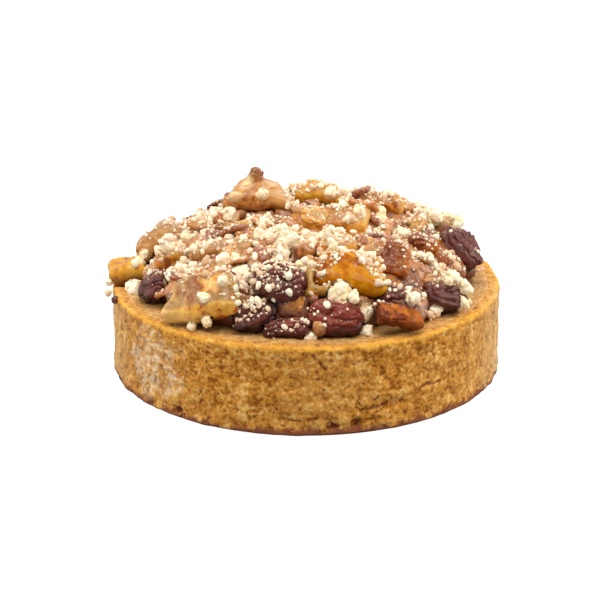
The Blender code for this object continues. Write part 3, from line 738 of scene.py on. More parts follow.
class Skin:
    """The surface of a piece as arrays: its points in millimetres, and which of them are neighbours."""

    def __init__(self, mesh: bpy.types.Mesh) -> None:
        """Reads a mesh that is in millimetres."""
        self.mesh = mesh
        self.points = np.empty((len(mesh.vertices), 3))
        mesh.vertices.foreach_get("co", self.points.reshape(-1))
        self.edges = np.empty((len(mesh.edges), 2), dtype=np.int32)
        mesh.edges.foreach_get("vertices", self.edges.reshape(-1))
        self.degree = np.bincount(self.edges.reshape(-1), minlength=len(self.points))

    @classmethod
    def of_shape(cls, points: np.ndarray, faces: list) -> "Skin":
        """Makes a surface from points and faces.

        Args:
            points: The points, in millimetres.
            faces: For each face, the numbers of its points.

        Returns:
            The surface.
        """
        mesh = bpy.data.meshes.new("shape")
        mesh.from_pydata(points.tolist(), [], faces)
        mesh.update()
        return cls(mesh)

    @classmethod
    def of_node(cls, node: str, grain: float) -> "Skin":
        """Makes an even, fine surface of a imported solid's form.

        Args:
            node: The solid's name.
            grain: The width of a face, in millimetres.

        Returns:
            The surface.
        """
        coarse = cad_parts[node].data.copy()
        coarse.transform(Matrix.Scale(1 / MM, 4))
        thing = bpy.data.objects.new("coarse", coarse)
        bpy.context.scene.collection.objects.link(thing)
        modifier = thing.modifiers.new("even", "REMESH")
        modifier.mode = "VOXEL"
        modifier.voxel_size = grain
        graph = bpy.context.evaluated_depsgraph_get()
        mesh = bpy.data.meshes.new_from_object(thing.evaluated_get(graph))
        bpy.data.objects.remove(thing)
        bpy.data.meshes.remove(coarse)
        return cls(mesh)

    def averaged(self, values: np.ndarray, rounds: int) -> np.ndarray:
        """Values at the points, averaged with their neighbours'.

        Args:
            values: One number or one row for each point.
            rounds: How many times.

        Returns:
            The averaged values.
        """
        first, second = self.edges.T
        columns = values.reshape(len(values), -1).copy()
        for _ in range(rounds):
            for column in columns.T:
                near = np.bincount(first, column[second], len(column))
                near += np.bincount(second, column[first], len(column))
                column += (near / np.maximum(1, self.degree) - column) * 0.5
        return columns.reshape(values.shape)

    def normals(self) -> np.ndarray:
        """The way out of the surface at each point."""
        self.mesh.vertices.foreach_set("co", self.points.reshape(-1))
        self.mesh.update()
        normals = np.empty_like(self.points)
        self.mesh.vertices.foreach_get("normal", normals.reshape(-1))
        return normals

    def soften(self, rounds: int, regain: float) -> None:
        """Averages the points this many times, and swells the surface again by some millimetres."""
        self.points = self.averaged(self.points, rounds)
        self.push(np.full(len(self.points), regain))

    def push(self, distance: np.ndarray) -> None:
        """Moves each point out by its own distance."""
        self.points = self.points + self.normals() * distance[:, None]

    def hollow(self, rounds: int) -> np.ndarray:
        """How many millimetres each point lies below its surroundings: less than 0 on ridges and edges."""
        around = self.averaged(self.points, rounds)
        return ((around - self.points) * self.normals()).sum(axis=1)

    def paint(self, name: str, values: np.ndarray) -> None:
        """Keeps a mask in the mesh for its material."""
        mask = self.mesh.attributes.new(name, "FLOAT", "POINT")
        mask.data.foreach_set("value", np.clip(values, 0, 1).astype(np.float32))

    def dress(
        self, name: str, material: bpy.types.Material, slot: str, nodes: Iterable[str] = ()
    ) -> bpy.types.Object:
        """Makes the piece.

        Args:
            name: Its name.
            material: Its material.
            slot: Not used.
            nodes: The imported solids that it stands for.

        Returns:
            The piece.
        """
        self.mesh.vertices.foreach_set("co", (self.points * MM).reshape(-1))
        self.mesh.name = name
        self.mesh.shade_smooth()
        self.mesh.materials.clear()
        self.mesh.materials.append(material)
        self.mesh.update()
        piece = bpy.data.objects.new(name, self.mesh)
        bpy.context.scene.collection.objects.link(piece)
        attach(piece, BODY)
        if nodes:
            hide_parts(*nodes)
        faces = sum(len(polygon.vertices) - 2 for polygon in self.mesh.polygons)
        LOG.info("%s: %d triangles", name, faces)
        return piece


def ring_faces(rings: int, segments: int) -> list:
    """The faces of a turned shape, with a fan at each end round the two points that follow its rings.

    Args:
        rings: How many rings of points it has.
        segments: How many points a ring has.

    Returns:
        For each face, the numbers of its points.
    """
    step = np.arange(segments)
    after = (step + 1) % segments
    last, middle = (rings - 1) * segments, rings * segments
    faces = []
    for start in range(0, last, segments):
        end = start + segments
        faces += np.stack([start + step, start + after, end + after, end + step], axis=1).tolist()
    faces += np.stack([after, step, step * 0 + middle], axis=1).tolist()
    faces += np.stack([last + step, last + after, step * 0 + middle + 1], axis=1).tolist()
    return faces


@dataclass(frozen=True)
class Hole:
    """A hole in the crust's wall: degrees round from the front, and millimetres."""

    turn: float
    height: float
    width: float
    tall: float
    depth: float


@dataclass(frozen=True)
class Wall:
    """The points of the crust before their relief, and how deep its flaws go there.

    Attributes:
        turns: Degrees round from the front.
        heights: Millimetres over the base.
        outside: Whether each point is on the baked outside.
        pores: The depth of the pores.
        cracks: The depth of the cracks, as a share.
        holes: The depth of the holes.
    """

    turns: np.ndarray
    heights: np.ndarray
    outside: np.ndarray
    pores: np.ndarray
    cracks: np.ndarray
    holes: np.ndarray


@dataclass
class CrustShell:
    """The shortcrust shell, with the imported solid's own relief and a finer one on it.

    A relief is given by how high it is and how wide its lumps are.
    """

    diameter: float = 85.0
    height: float = 19.4
    wall: float = 3.2
    floor: float = 3.0
    foot_rounding: float = 0.7
    rim_rounding: float = 0.7
    rim_inside: float = 0.9
    bulge: float = 0.35
    lump: tuple = (0.3, 5.5)
    grain: tuple = (0.22, 2.4)
    fine: tuple = (0.15, 1.5)
    finest: tuple = (0.06, 0.95)
    rim_grain: float = 1.8
    calm_rim: float = 0.4
    segments: int = 880
    row_step: float = 0.3
    lowest_row: float = 0.9
    pores: int = 2200
    pore_widths: tuple = (0.32, 0.7)
    pore_heights: tuple = (0.28, 0.5)
    pore_depths: tuple = (0.06, 0.3)
    pore_reach: int = 4
    crack_width: float = 0.45
    crack_depth: float = 0.35
    ragged: tuple = ((0.35, 2.2), (0.25, 0.8))
    rim_band: float = 1.4
    foot_band: tuple = (2.1, 0.9)
    flour_middle: tuple = (-49.0, 10.3)
    flour_reach: tuple = (12.5, 7.6)
    # Painted sheen: where pale bands lie on the wall, in degrees round from the front, and how far they reach.
    sheen_turns: tuple = (-82.0, 80.0, 158.0)
    sheen_reach: float = 18.0
    seed: int = 41

    holes = (
        Hole(7, 2.2, 3.6, 2.4, 1.1),
        Hole(14, 2.4, 3.0, 2.4, 1.0),
        Hole(-38, 1.8, 3.4, 2.6, 1.0),
        Hole(24, 6.0, 6.0, 2.4, 0.6),
        Hole(44, 9.4, 4.0, 2.4, 0.6),
        Hole(-24, 13.6, 3.4, 2.4, 0.6),
        Hole(33, 16.0, 3.4, 2.6, 0.6),
        Hole(118, 3.2, 4.0, 2.4, 0.9),
        Hole(-131, 2.6, 3.4, 2.4, 0.9),
        Hole(176, 8.5, 4.5, 2.6, 0.6),
    )
    cracks = (
        ((15.0, 5.3), (19.0, 5.9), (23.0, 5.6), (28.0, 6.1)),
        ((34.0, 8.2), (38.0, 8.4), (42.5, 8.1), (45.0, 8.6)),
        ((1.2, 18.2), (2.8, 16.8), (5.2, 15.0)),
        ((-6.0, 3.8), (-2.0, 3.6), (3.0, 4.2)),
        ((100.0, 6.0), (108.0, 5.2), (114.0, 5.9)),
        ((-160.0, 12.0), (-152.0, 11.2), (-148.0, 12.2)),
    )

    @property
    def radius(self) -> float:
        """Half the diameter."""
        return self.diameter / 2

    def profile(self) -> np.ndarray:
        """The shell's outline, as (radius, height) rows, up the wall, over the rim and down the inside."""
        shoulder, inner = self.height - self.rim_rounding, self.radius - self.wall
        base = self.radius - self.foot_rounding
        flat = [(share * base, 0.0) for share in (0.25, 0.5, 0.75, 0.9, 0.97, 1.0)]
        foot = [(base + 0.55, 0.25), (self.radius + self.bulge - 0.1, 0.55)]
        rows = []
        for height in np.arange(self.lowest_row, shoulder, self.row_step):
            share = (height - self.lowest_row) / (shoulder - self.lowest_row)
            rows.append((self.radius + self.bulge * (1 - share) ** 2, height))
        rim = []
        for angle in np.radians((0, 25, 50, 75)):
            back = self.rim_rounding * (1 - math.cos(angle))
            rim.append((self.radius - back, shoulder + self.rim_rounding * math.sin(angle)))
        across = np.linspace(self.radius - self.rim_rounding, inner + self.rim_inside, 7)
        rim += [(radius, self.height) for radius in across]
        rim += [(inner + back, self.height - down) for back, down in ((0.5, 0.08), (0.2, 0.2), (0.0, 0.45))]
        inside = [(inner, height) for height in (18.5, 18.0, 17.0, 14.0, 9.0, self.floor + 0.6)]
        bottom = [(inner - 0.6, self.floor)] + [(inner * share, self.floor) for share in (0.75, 0.5, 0.25)]
        return np.array(flat + foot + rows + rim + inside + bottom)

    def hole_depths(self, turns: np.ndarray, heights: np.ndarray) -> np.ndarray:
        """How deep the wall's holes are at some places.

        Args:
            turns: Degrees round from the front.
            heights: Millimetres over the base.

        Returns:
            The depths in millimetres.
        """
        depth = np.zeros(len(turns))
        for hole in self.holes:
            across = (turns - hole.turn + 180.0) % 360.0 - 180.0
            across = np.radians(across) * self.radius / (hole.width / 2)
            up = (heights - hole.height) / (hole.tall / 2)
            depth = np.maximum(depth, hole.depth * np.exp(-(across**2 + up**2)))
        return depth

    def crack_depths(self, turns: np.ndarray, heights: np.ndarray, relief: Relief) -> np.ndarray:
        """How deep the wall's cracks are at some places.

        Args:
            turns: Degrees round from the front.
            heights: Millimetres over the base.
            relief: What makes them crooked and breaks them up.

        Returns:
            The depths, as shares of the deepest.
        """
        depth = np.zeros(len(turns))
        places = np.stack([np.radians(turns) * self.radius, heights, turns * 0], axis=1)
        places[:, 1] += relief.at(places, 1.6) * 0.5
        for crack in self.cracks:
            corners = [np.array((math.radians(turn) * self.radius, height)) for turn, height in crack]
            for start, end in zip(corners, corners[1:]):
                along = end - start
                share = np.clip((places[:, :2] - start) @ along / (along @ along), 0, 1)
                away = np.linalg.norm(places[:, :2] - start - share[:, None] * along, axis=1)
                depth = np.maximum(depth, smooth_step(away, self.crack_width, 0.1))
        return depth * smooth_step(relief.at(places, 1.7), -0.25, 0.15)

    def pore_grid(self, heights: np.ndarray) -> np.ndarray:
        """How deep the wall's many small pores are.

        Args:
            heights: The height of each point, one row for each row of the profile.

        Returns:
            The depths in millimetres, as a grid of the same kind.
        """
        draw = np.random.default_rng(self.seed)
        depth = np.zeros(heights.shape)
        step, reach = 2 * math.pi * self.radius / self.segments, self.pore_reach
        for _ in range(self.pores):
            column, height = draw.integers(self.segments), draw.uniform(0.8, self.height - 0.6)
            wide, tall = draw.uniform(*self.pore_widths), draw.uniform(*self.pore_heights)
            deep = draw.uniform(*self.pore_depths)
            columns = np.arange(column - reach, column + reach + 1) % self.segments
            row = int(np.abs(heights[:, 0] - height).argmin())
            rows = np.arange(max(0, row - reach), min(len(heights), row + reach + 1))
            across = (np.arange(-reach, reach + 1) * step / wide)[None, :]
            up = (heights[rows][:, columns] - height) / tall
            block = np.ix_(rows, columns)
            depth[block] = np.maximum(depth[block], deep * np.exp(-(across**2 + up**2)))
        return depth

    def build(self) -> bpy.types.Object:
        """Makes the shell."""
        profile = self.profile()
        rows = len(profile)
        angles = np.arange(self.segments) * 2 * math.pi / self.segments
        flat = np.stack([np.cos(angles), np.sin(angles), angles * 0], axis=1)
        points = profile[:, 0, None, None] * flat + profile[:, 1, None, None] * np.array((0.0, 0.0, 1.0))
        points = points.reshape(-1, 3)
        turns = np.tile((np.degrees(angles) - FRONT + 180) % 360 - 180, rows)
        heights, radii = points[:, 2].copy(), np.hypot(points[:, 0], points[:, 1])
        relief = Relief(self.seed)
        wall = Wall(
            turns,
            heights,
            outside=(radii > self.radius - self.wall + self.rim_inside / 2) & (heights > 0),
            pores=self.pore_grid(heights.reshape(rows, -1)).reshape(-1),
            cracks=self.crack_depths(turns, heights, relief),
            holes=self.hole_depths(turns, heights) * (1 + 0.5 * relief.at(points, 1.1)),
        )
        coarse = np.zeros(len(points))
        for number in np.flatnonzero(wall.outside):
            for high, wide in (self.lump, self.grain):
                coarse[number] += high * noise.noise(Vector(points[number]) / wide)
        grain = relief.raised(points, self.fine, self.finest)
        on_rim = np.clip((heights - self.height + self.rim_rounding) / self.rim_rounding, 0, 1)
        near_foot = smooth_step(heights, 0.0, 1.2)
        sideways = coarse * (1 - on_rim * (1 - self.calm_rim)) - wall.holes * (1 - on_rim)
        sideways += (grain - wall.pores - self.crack_depth * wall.cracks) * near_foot
        out = points * (1, 1, 0) / radii[:, None]
        points = points + out * (sideways * wall.outside)[:, None]
        points[:, 2] += on_rim * (coarse + self.rim_grain * grain) * wall.outside
        points = np.concatenate([points, [(0.0, 0.0, 0.0), (0.0, 0.0, self.floor)]])
        skin = Skin.of_shape(points, ring_faces(rows, self.segments))
        self.paint(skin, wall, relief)
        return skin.dress("crust", CrustFinish().material(), "crust", ("crust_shell",))

    def paint(self, skin: Skin, wall: Wall, relief: Relief) -> None:
        """Paints the shell's rim, foot, holes and flour: the rim's lighter band is partly painted highlight, the
        holes, pores and cracks get painted shade by their depth, with a painted contact shadow along the base, and
        pale bands at the sides are painted sheen.

        Args:
            skin: The shell's surface.
            wall: Its points before their relief.
            relief: Its unevenness.
        """
        places = skin.points[:-2]
        radii = np.hypot(*places.T[:2])
        ragged = relief.raised(places, *self.ragged)
        # The rim band: partly the lip's baked colour, partly a painted highlight along its top edge.
        rim = smooth_step(wall.heights + ragged, self.height - self.rim_band, self.height - 0.4)
        rim = rim * smooth_step(radii + 1.5 * ragged, self.radius - self.rim_band, self.radius - 0.5)
        rim *= np.clip(0.75 + 0.5 * relief.at(places, 3.0), 0.4, 0.95)
        inside = smooth_step(radii + ragged, self.radius - 0.7, self.radius - self.rim_band) * 0.9
        foot = smooth_step(wall.heights + 3.2 * ragged, *self.foot_band) * 0.9
        # Painted shade: darker the deeper the pores, cracks and holes go, and a painted contact shadow along the
        # lowest 0.8 millimetres of the wall.
        dark = np.maximum(smooth_step(wall.pores, 0.13, 0.25) * 0.8, wall.cracks * 0.85)
        dark = np.maximum(dark, smooth_step(wall.heights + ragged, 0.8, 0.3) * 0.5)
        dark = np.maximum(dark, smooth_step(wall.holes * (1 + relief.at(places, 0.9)), 0.45, 0.8))
        across = (wall.turns - self.flour_middle[0]) / self.flour_reach[0]
        up = (wall.heights - self.flour_middle[1]) / self.flour_reach[1]
        patch = across**2 + up**2 + relief.at(places, 4.0) * 0.7
        blotches = smooth_step(relief.at(places, 1.4) + 0.7 * relief.at(places, 0.7), -0.05, 0.25)
        flour = smooth_step(patch, 1.1, 0.3) * (0.2 + 0.8 * blotches)
        # Painted sheen: pale, streaked bands at the wall's two sides and towards the back.
        sides = sum(np.exp(-(((wall.turns - turn) / self.sheen_reach) ** 2)) for turn in self.sheen_turns)
        streaks = 0.7 + 0.5 * relief.at(places, (1.2, 1.2, 7.0))
        pale = np.clip(sides * streaks, 0, 1) * 0.75
        masks = {"rim": rim, "inside": inside, "foot": foot, "hole": dark * wall.outside}
        for name, values in {**masks, "flour": flour, "pale": pale}.items():
            in_middles = 1.0 if name == "foot" else 0.0
            skin.paint(name, np.append(values, (in_middles, in_middles)))


@dataclass
class AlmondCream:
    """The baked almond cream, whose top shows between the fruit and the rim."""

    radius: float = 40.4
    low: float = 3.3
    top: float = 18.7
    edge: float = 0.4
    level_radius: float = 29.0
    relief: tuple = (0.3, 4.0)
    fine: tuple = (0.12, 1.6)
    finest: tuple = (0.07, 0.8)
    swell: float = 0.55
    rim_swell: float = 0.2
    fruit_radius: float = 34.0
    segments: int = 420
    seed: int = 43

    def build(self) -> bpy.types.Object:
        """Makes the cream."""
        rings = [(self.radius - 0.7, self.low), (self.radius, self.low + 0.7)]
        rings += [(self.radius, self.top - self.edge), (self.radius - 0.12, self.top - 0.12)]
        across = [*np.linspace(self.radius - self.edge, self.level_radius, 24), 24.0, 16.0, 8.0]
        rings += [(radius, self.top) for radius in across]
        angles = np.arange(self.segments) * 2 * math.pi / self.segments
        flat = np.stack([np.cos(angles), np.sin(angles), angles * 0], axis=1)
        points = np.concatenate([radius * flat + (0, 0, height) for radius, height in rings])
        points = np.concatenate([points, [(0.0, 0.0, self.low), (0.0, 0.0, self.top)]])
        relief = Relief(self.seed)
        on_top = points[:, 2] >= self.top
        rise = relief.raised(points, self.fine, self.finest)
        for number in np.flatnonzero(on_top):
            rise[number] += self.relief[0] * noise.noise(Vector(points[number]) / self.relief[1])
        radii = np.hypot(points[:, 0], points[:, 1])
        rise += self.swell + self.rim_swell * smooth_step(radii, self.radius - 4.0, self.radius - 0.4)
        points[:, 2] += rise * on_top
        skin = Skin.of_shape(points, ring_faces(len(rings), self.segments))
        ragged = radii + relief.at(points, 3.0) * 0.9
        skin.paint("moist", smooth_step(ragged, self.fruit_radius + 1.4, self.fruit_radius - 0.6) * 0.6)
        skin.paint("dust", 0.1 + 0.25 * smooth_step(relief.at(points, 5.0), 0.0, 0.8))
        return skin.dress("almond_cream_top", CreamFinish().material(), "almond_cream", ("almond_cream",))


@dataclass(frozen=True)
class Nugget:
    """A larger lump of crumble.

    Attributes:
        middle: The place of its middle.
        width: Its width.
        paleness: How pale its place is where it has melted into the fruit, or None where it has not.
    """

    middle: Place
    width: float
    paleness: float | None = None


class Ground:
    """Surfaces that things can fall on."""

    SKY = 90.0

    def __init__(self, pieces: Iterable[bpy.types.Object]) -> None:
        """Makes a search tree for each piece."""
        self.trees = [(piece.name, tree_of(piece)) for piece in pieces]

    def hit(self, start: Vector, way: Vector) -> tuple | None:
        """The first surface that something meets.

        Args:
            start: Where it starts, in millimetres.
            way: Where it goes.

        Returns:
            The place in millimetres, the way out of the surface there, and the piece's name, or None.
        """
        best = None
        for name, tree in self.trees:
            place, normal, _, far = tree.ray_cast(start * MM, way)
            if place is not None and (best is None or far < best[0]):
                best = (far, place / MM, normal, name)
        return best[1:] if best else None

    def below(self, x: float, y: float) -> tuple | None:
        """What a thing that falls straight down at a place meets."""
        return self.hit(Vector((x, y, self.SKY)), Vector((0, 0, -1)))


class Skyline:
    """How high the heap stands on average round each place, which tells its gaps from its tops."""

    STEP = 0.7
    REACH = 44.0
    WINDOW = 7
    ROUNDS = 3

    def __init__(self, ground: Ground, lowest: float) -> None:
        """Feels the heap's height on a grid, and evens it out."""
        side = np.arange(-self.REACH, self.REACH + self.STEP, self.STEP)
        heights = np.full((len(side), len(side)), lowest)
        for row, column in np.argwhere(np.hypot(*np.meshgrid(side, side, indexing="ij")) < self.REACH - 2):
            hit = ground.below(side[row], side[column])
            heights[row, column] = max(lowest, hit[0].z) if hit else lowest
        window = np.full(self.WINDOW, 1 / self.WINDOW)
        for axis in (0, 1) * self.ROUNDS:
            heights = np.apply_along_axis(np.convolve, axis, heights, window, "same")
        self.heights = heights

    def gap(self, points: np.ndarray) -> np.ndarray:
        """How deep in a gap some points lie, as shares: how much painted shade they get there."""
        place = (points[:, :2] + self.REACH) / self.STEP
        cell = np.clip(np.floor(place).astype(int), 0, len(self.heights) - 2)
        (x, y), (across, along) = cell.T, np.clip(place - cell, 0, 1).T
        near = self.heights[x, y] * (1 - along) + self.heights[x, y + 1] * along
        far = self.heights[x + 1, y] * (1 - along) + self.heights[x + 1, y + 1] * along
        return smooth_step(near * (1 - across) + far * across - points[:, 2], 0.5, 3.2) * 0.85


def tree_of(piece: bpy.types.Object) -> BVHTree:
    """A search tree of a piece's own mesh in metres, whether the piece is shown or not."""
    shape = bmesh.new()
    shape.from_mesh(piece.data)
    tree = BVHTree.FromBMesh(shape)
    shape.free()
    return tree


@dataclass
class NuggetPlaces:
    """Where the larger nuggets lie: those with a place of their own, and those strewn as on the solids."""

    named: tuple = (
        (-37.0, -8.5, 4.6), (-35.5, -1.5, 2.4), (-28.5, -12.0, 3.8), (-27.0, -16.5, 4.6),
        (-25.5, -14.0, 3.8), (-25.5, -3.0, 3.4), (-22.5, 5.5, 3.8), (-17.0, -31.5, 2.9),
        (-17.0, -17.5, 3.2), (-16.5, -0.5, 3.6), (-15.5, 0.0, 2.9), (-13.5, -25.0, 4.4),
        (-13.0, 3.5, 2.9), (-9.5, 0.5, 2.6), (-9.0, -12.5, 4.4), (-5.5, -22.0, 4.2),
        (-4.5, -12.5, 4.2), (-3.0, -20.5, 3.4), (-1.0, -11.0, 3.6), (-0.5, -27.5, 3.0),
        (1.0, -37.0, 2.5), (4.5, -17.0, 3.8), (7.0, -32.5, 5.4), (8.5, -2.5, 3.2),
        (11.5, -32.5, 3.2), (11.5, -6.5, 3.2), (12.5, -34.0, 3.0), (13.5, 15.0, 3.8),
        (15.5, -2.5, 3.6), (20.0, -4.5, 4.2), (21.5, -30.0, 3.2), (22.0, -10.5, 3.0),
        (26.5, -11.5, 3.5), (28.0, 0.5, 3.6), (30.0, -20.0, 4.2), (31.0, 2.0, 3.0),
        (33.0, -19.5, 3.4), (33.5, -21.5, 3.5), (34.5, -16.0, 2.4),
    )
    loose: tuple = (
        ((-20.3, -33.7, 22.0), 2.6),
        ((-23.4, -32.6, 20.3), 2.6),
        ((26.8, -24.5, 20.8), 3.7),
        ((33.2, 1.5, 32.2), 3.2),
        ((-42.9, -5.5, 20.0), 2.2),
        ((-43.0, -8.0, 18.9), 1.8),
        ((22.3, -32.4, 26.6), 2.6),
        ((9.6, -33.5, 27.3), 3.0),
    )
    near: float = 0.5
    melted: tuple = ((-15.5, -0.6, 0.5), (-13.3, 2.9, 0.55), (-7.5, 2.9, 0.2))
    strewn: int = 34
    reach: float = 38.0
    stray: float = 1.0
    turn: float = 20.0
    widths: tuple = (2.0, 3.0)
    seed: int = 23
    rise: float = 0.2
    shell: tuple = (0.5, 0.09)
    fewest: float = 7.0

    def settle(self, x: float, y: float, width: float, ground: Ground, corners: np.ndarray) -> Nugget:
        """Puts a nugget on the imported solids, in the place of the bump that they may have there.

        Args:
            x: Its place from left to right.
            y: Its place from front to back.
            width: Its width.
            ground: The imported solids.
            corners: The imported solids' corners.

        Returns:
            The nugget.
        """
        place, normal, _ = ground.below(x, y)
        near = corners[np.linalg.norm(corners - place, axis=1) < 1.5 * width]
        aside, down = np.linspace(-0.2, 0.2, 5), np.linspace(-0.7, 0, 15)
        tries = np.array(place) + np.array(list(product(aside, aside, down))) * width
        away = np.linalg.norm(near[None, :, :] - tries[:, None, :], axis=2) / width
        score = np.exp(-(((away - self.shell[0]) / self.shell[1]) ** 2)) - 2 * (away < 0.36)
        score = score.sum(axis=1)
        if score.max() < self.fewest:
            return Nugget(tuple(place + normal * self.rise * width), width)
        return Nugget(tuple(tries[score.argmax()]), width)

    def find(self, nodes: Iterable[bpy.types.Object]) -> list[Nugget]:
        """All of them.

        Args:
            nodes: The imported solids.

        Returns:
            The nuggets.
        """
        nodes = list(nodes)
        ground = Ground(nodes)
        corners = np.concatenate([Skin(node.data).points / MM for node in nodes])
        spots = list(self.named)
        for step in range(self.strewn):
            draw = random.Random(self.seed + step)
            radius = self.reach * math.sqrt((step + 0.5) / self.strewn)
            radius += draw.uniform(-self.stray, self.stray)
            width = draw.uniform(*self.widths)
            angle = math.radians(step * GOLDEN_ANGLE + self.turn)
            spots.append((radius * math.cos(angle), radius * math.sin(angle), width))
        found = [self.settle(*spot, ground, corners) for spot in spots]
        found += [Nugget(*place) for place in self.loose]
        return [replace(nugget, paleness=self.paleness(nugget)) for nugget in found]

    def paleness(self, nugget: Nugget) -> float | None:
        """How pale the place of a nugget is, if it is one of those that have melted in."""
        near = [pale for x, y, pale in self.melted if math.dist(nugget.middle[:2], (x, y)) < self.near]
        return near[0] if near else None


def crumb_mask(points: np.ndarray, nuggets: Iterable[Nugget], melted: bool = False) -> np.ndarray:
    """Which points of a piece belong to the nuggets fused to it.

    Args:
        points: The points.
        nuggets: The nuggets.
        melted: Whether those that have melted in count too.

    Returns:
        A share for each point.
    """
    mask = np.zeros(len(points))
    for nugget in nuggets:
        away = np.linalg.norm(points - nugget.middle, axis=1) / nugget.width
        if nugget.paleness is None:
            mask = np.maximum(mask, smooth_step(away, 0.58, 0.48))
        elif melted:
            mask = np.maximum(mask, smooth_step(away, 0.85, 0.3) * nugget.paleness)
    return mask


@dataclass
class FruitPieces:
    """The large pieces of apple and the raisins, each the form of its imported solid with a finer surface.

    A relief is given by how high it is and how wide its lumps are.
    """

    skyline: Skyline
    apple_grain: float = 0.34
    raisin_grain: float = 0.25
    core_grain: float = 0.55
    lumps: tuple = (0.75, 5.2)
    dents: tuple = (0.22, 2.2)
    fibres: tuple = (0.06, (0.9, 2.6, 0.9))
    browned_ridges: tuple = (0.45, (4.5, 1.6, 1.6))
    browned_shrinking: float = 0.25
    pale_waves: tuple = (0.5, (7.0, 3.0, 3.0))
    pale_shrinking: float = 0.1
    plumpness: float = 0.15
    raisin_dents: tuple = (0.5, 3.6)
    raisin_bends: tuple = (0.8, 3.0)
    folds: tuple = (0.6, 0.16, (2.2, 2.2, 6.0))
    creases: tuple = (0.2, 0.2, (1.1, 1.1, 3.0))
    core_lumps: tuple = (0.4, 2.8)
    core_dents: tuple = (0.2, 1.4)
    core_foot: tuple = (19.2, 21.2)
    foot_top: float = 23.5
    foot_low: float = 20.5
    tip: Place = (-10.9, 5.0, 41.5)
    knob: Place = (-11.0, 5.0, 42.4)
    knob_width: float = 2.8
    slope: float = 0.45
    drop: float = 1.2
    shoulder: float = 9.0
    lift: float = 2.0
    narrowing: float = 0.2
    cling: float = 0.8
    overhang: float = 5.0
    fill: float = 0.85
    tallest: float = 43.4
    clean_dust: float = 0.06
    honey_dust: float = 0.4
    apple_dust: float = 0.7
    raisin_dust: float = 0.5
    foot_shade: float = 0.7
    pale_foot_shade: float = 0.15
    rather_red: float = 0.8
    hardly_red: float = 0.15
    seed: int = 51

    tones = {
        "apple_front_wedge": AppleTone.GOLD,
        "apple_front_left_slab": AppleTone.PALE,
        "apple_peak": AppleTone.HONEY,
        "apple_back_wedge": AppleTone.YELLOW,
        "apple_back_right": AppleTone.AMBER,
        "apple_right_shoulder": AppleTone.TAN,
        "apple_beside_raisin": AppleTone.RUSSET,
        "apple_front_right_slab": AppleTone.RUSSET,
        "apple_right_strip": AppleTone.RUSSET,
        "apple_middle_strip": AppleTone.AMBER,
        "apple_middle_slab": AppleTone.AMBER,
        "apple_wedge_wing": AppleTone.OLIVE,
        "apple_left_slice": AppleTone.TAN,
        "apple_left_round": AppleTone.AMBER,
        "apple_left_shoulder": AppleTone.TAN,
        "apple_left_edge": AppleTone.YELLOW,
        "apple_back_1": AppleTone.AMBER,
        "apple_back_2": AppleTone.TAN,
        "apple_back_3": AppleTone.PALE,
        "apple_back_4": AppleTone.RUSSET,
        "apple_back_5": AppleTone.GOLD,
        "apple_back_6": AppleTone.TAN,
    }
    # The way to the side painted lighter, for the pieces that are not painted lighter to the right.
    lit_ways = {"apple_front_left_slab": (-1.0, 0.0, -0.4)}
    slim = {"apple_front_right_slab": 0.6}
    red_raisins = ("raisin_front", "raisin_front_low")
    clean = ("apple_front_wedge", "apple_left_edge", "apple_front_right_slab")

    def masks(
        self,
        skin: Skin,
        nuggets: list[Nugget],
        relief: Relief,
        dustiness: float,
        lit_way: Place = (1.0, 0.0, 0.0),
        foot_shade: float = foot_shade,
    ) -> None:
        """Paints a piece's dust, crumbs and browned top, painted shade in its hollows, near the cream and in the
        heap's gaps, and painted highlight on its edges and on one side.

        Args:
            skin: The piece's surface.
            nuggets: The nuggets on the heap.
            relief: The unevenness of the dusting.
            dustiness: How much dust lies on it.
            lit_way: The way to the side that gets painted light.
            foot_shade: How much painted shade it gets near the cream.
        """
        points, normals, hollow = skin.points, skin.normals(), skin.hollow(14)
        # Painted shade in the hollows, and a painted highlight on the edges and ridges.
        skin.paint("hollow", smooth_step(hollow, 0.05, 0.4) * 0.8)
        skin.paint("edge", smooth_step(-hollow, 0.12, 0.5) * 0.5)
        clouds = smooth_step(relief.at(points, 7.0), -0.5, 0.5)
        skin.paint("dust", dustiness * smooth_step(normals[:, 2], 0.35, 0.95) * (0.35 + 0.65 * clouds))
        browned = smooth_step(normals[:, 2] + 0.3 * clouds, 0.5, 1.0)
        skin.paint("top", min(1.0, dustiness * 1.2) * browned * 0.85)
        skin.paint("crumb", crumb_mask(points, nuggets, melted=True))
        # Painted shade in the heap's gaps and near the cream; the knob on the peak is painted darker with it.
        knob = smooth_step(np.linalg.norm(points - self.knob, axis=1), 3.4, 1.4)
        foot = smooth_step(points[:, 2] + relief.at(points, 3.0), self.foot_top, self.foot_low)
        gap = np.maximum(self.skyline.gap(points), foot_shade * foot)
        skin.paint("gap", np.maximum(gap, 0.6 * knob))
        # Painted light: each piece is painted lighter towards one side, to the right unless another way is given.
        across = (points - points.mean(axis=0)) @ np.array(lit_way)
        across = across / np.abs(across).max() + 0.5 * relief.at(points, 4.0)
        skin.paint("lit_side", smooth_step(across, 0.0, 0.9) * 0.7)

    def apple_relief(self, points: np.ndarray, tone: AppleTone, relief: Relief) -> np.ndarray:
        """How far a piece of apple stands out over its solid's form.

        Args:
            points: Its points.
            tone: Its tone, as the browned pieces are ridged and the pale ones wavy.
            relief: The unevenness of them all.

        Returns:
            The distance at each point, in millimetres.
        """
        rough = relief.raised(points, self.lumps, self.dents)
        rough += self.fibres[0] * relief.ridges(points, self.fibres[1])
        if tone is AppleTone.RUSSET:
            high, size = self.browned_ridges
            rough += high * relief.ridges(points, size) - self.browned_shrinking
        if tone is AppleTone.PALE:
            rough += relief.raised(points, self.pale_waves) - self.pale_shrinking
        return rough

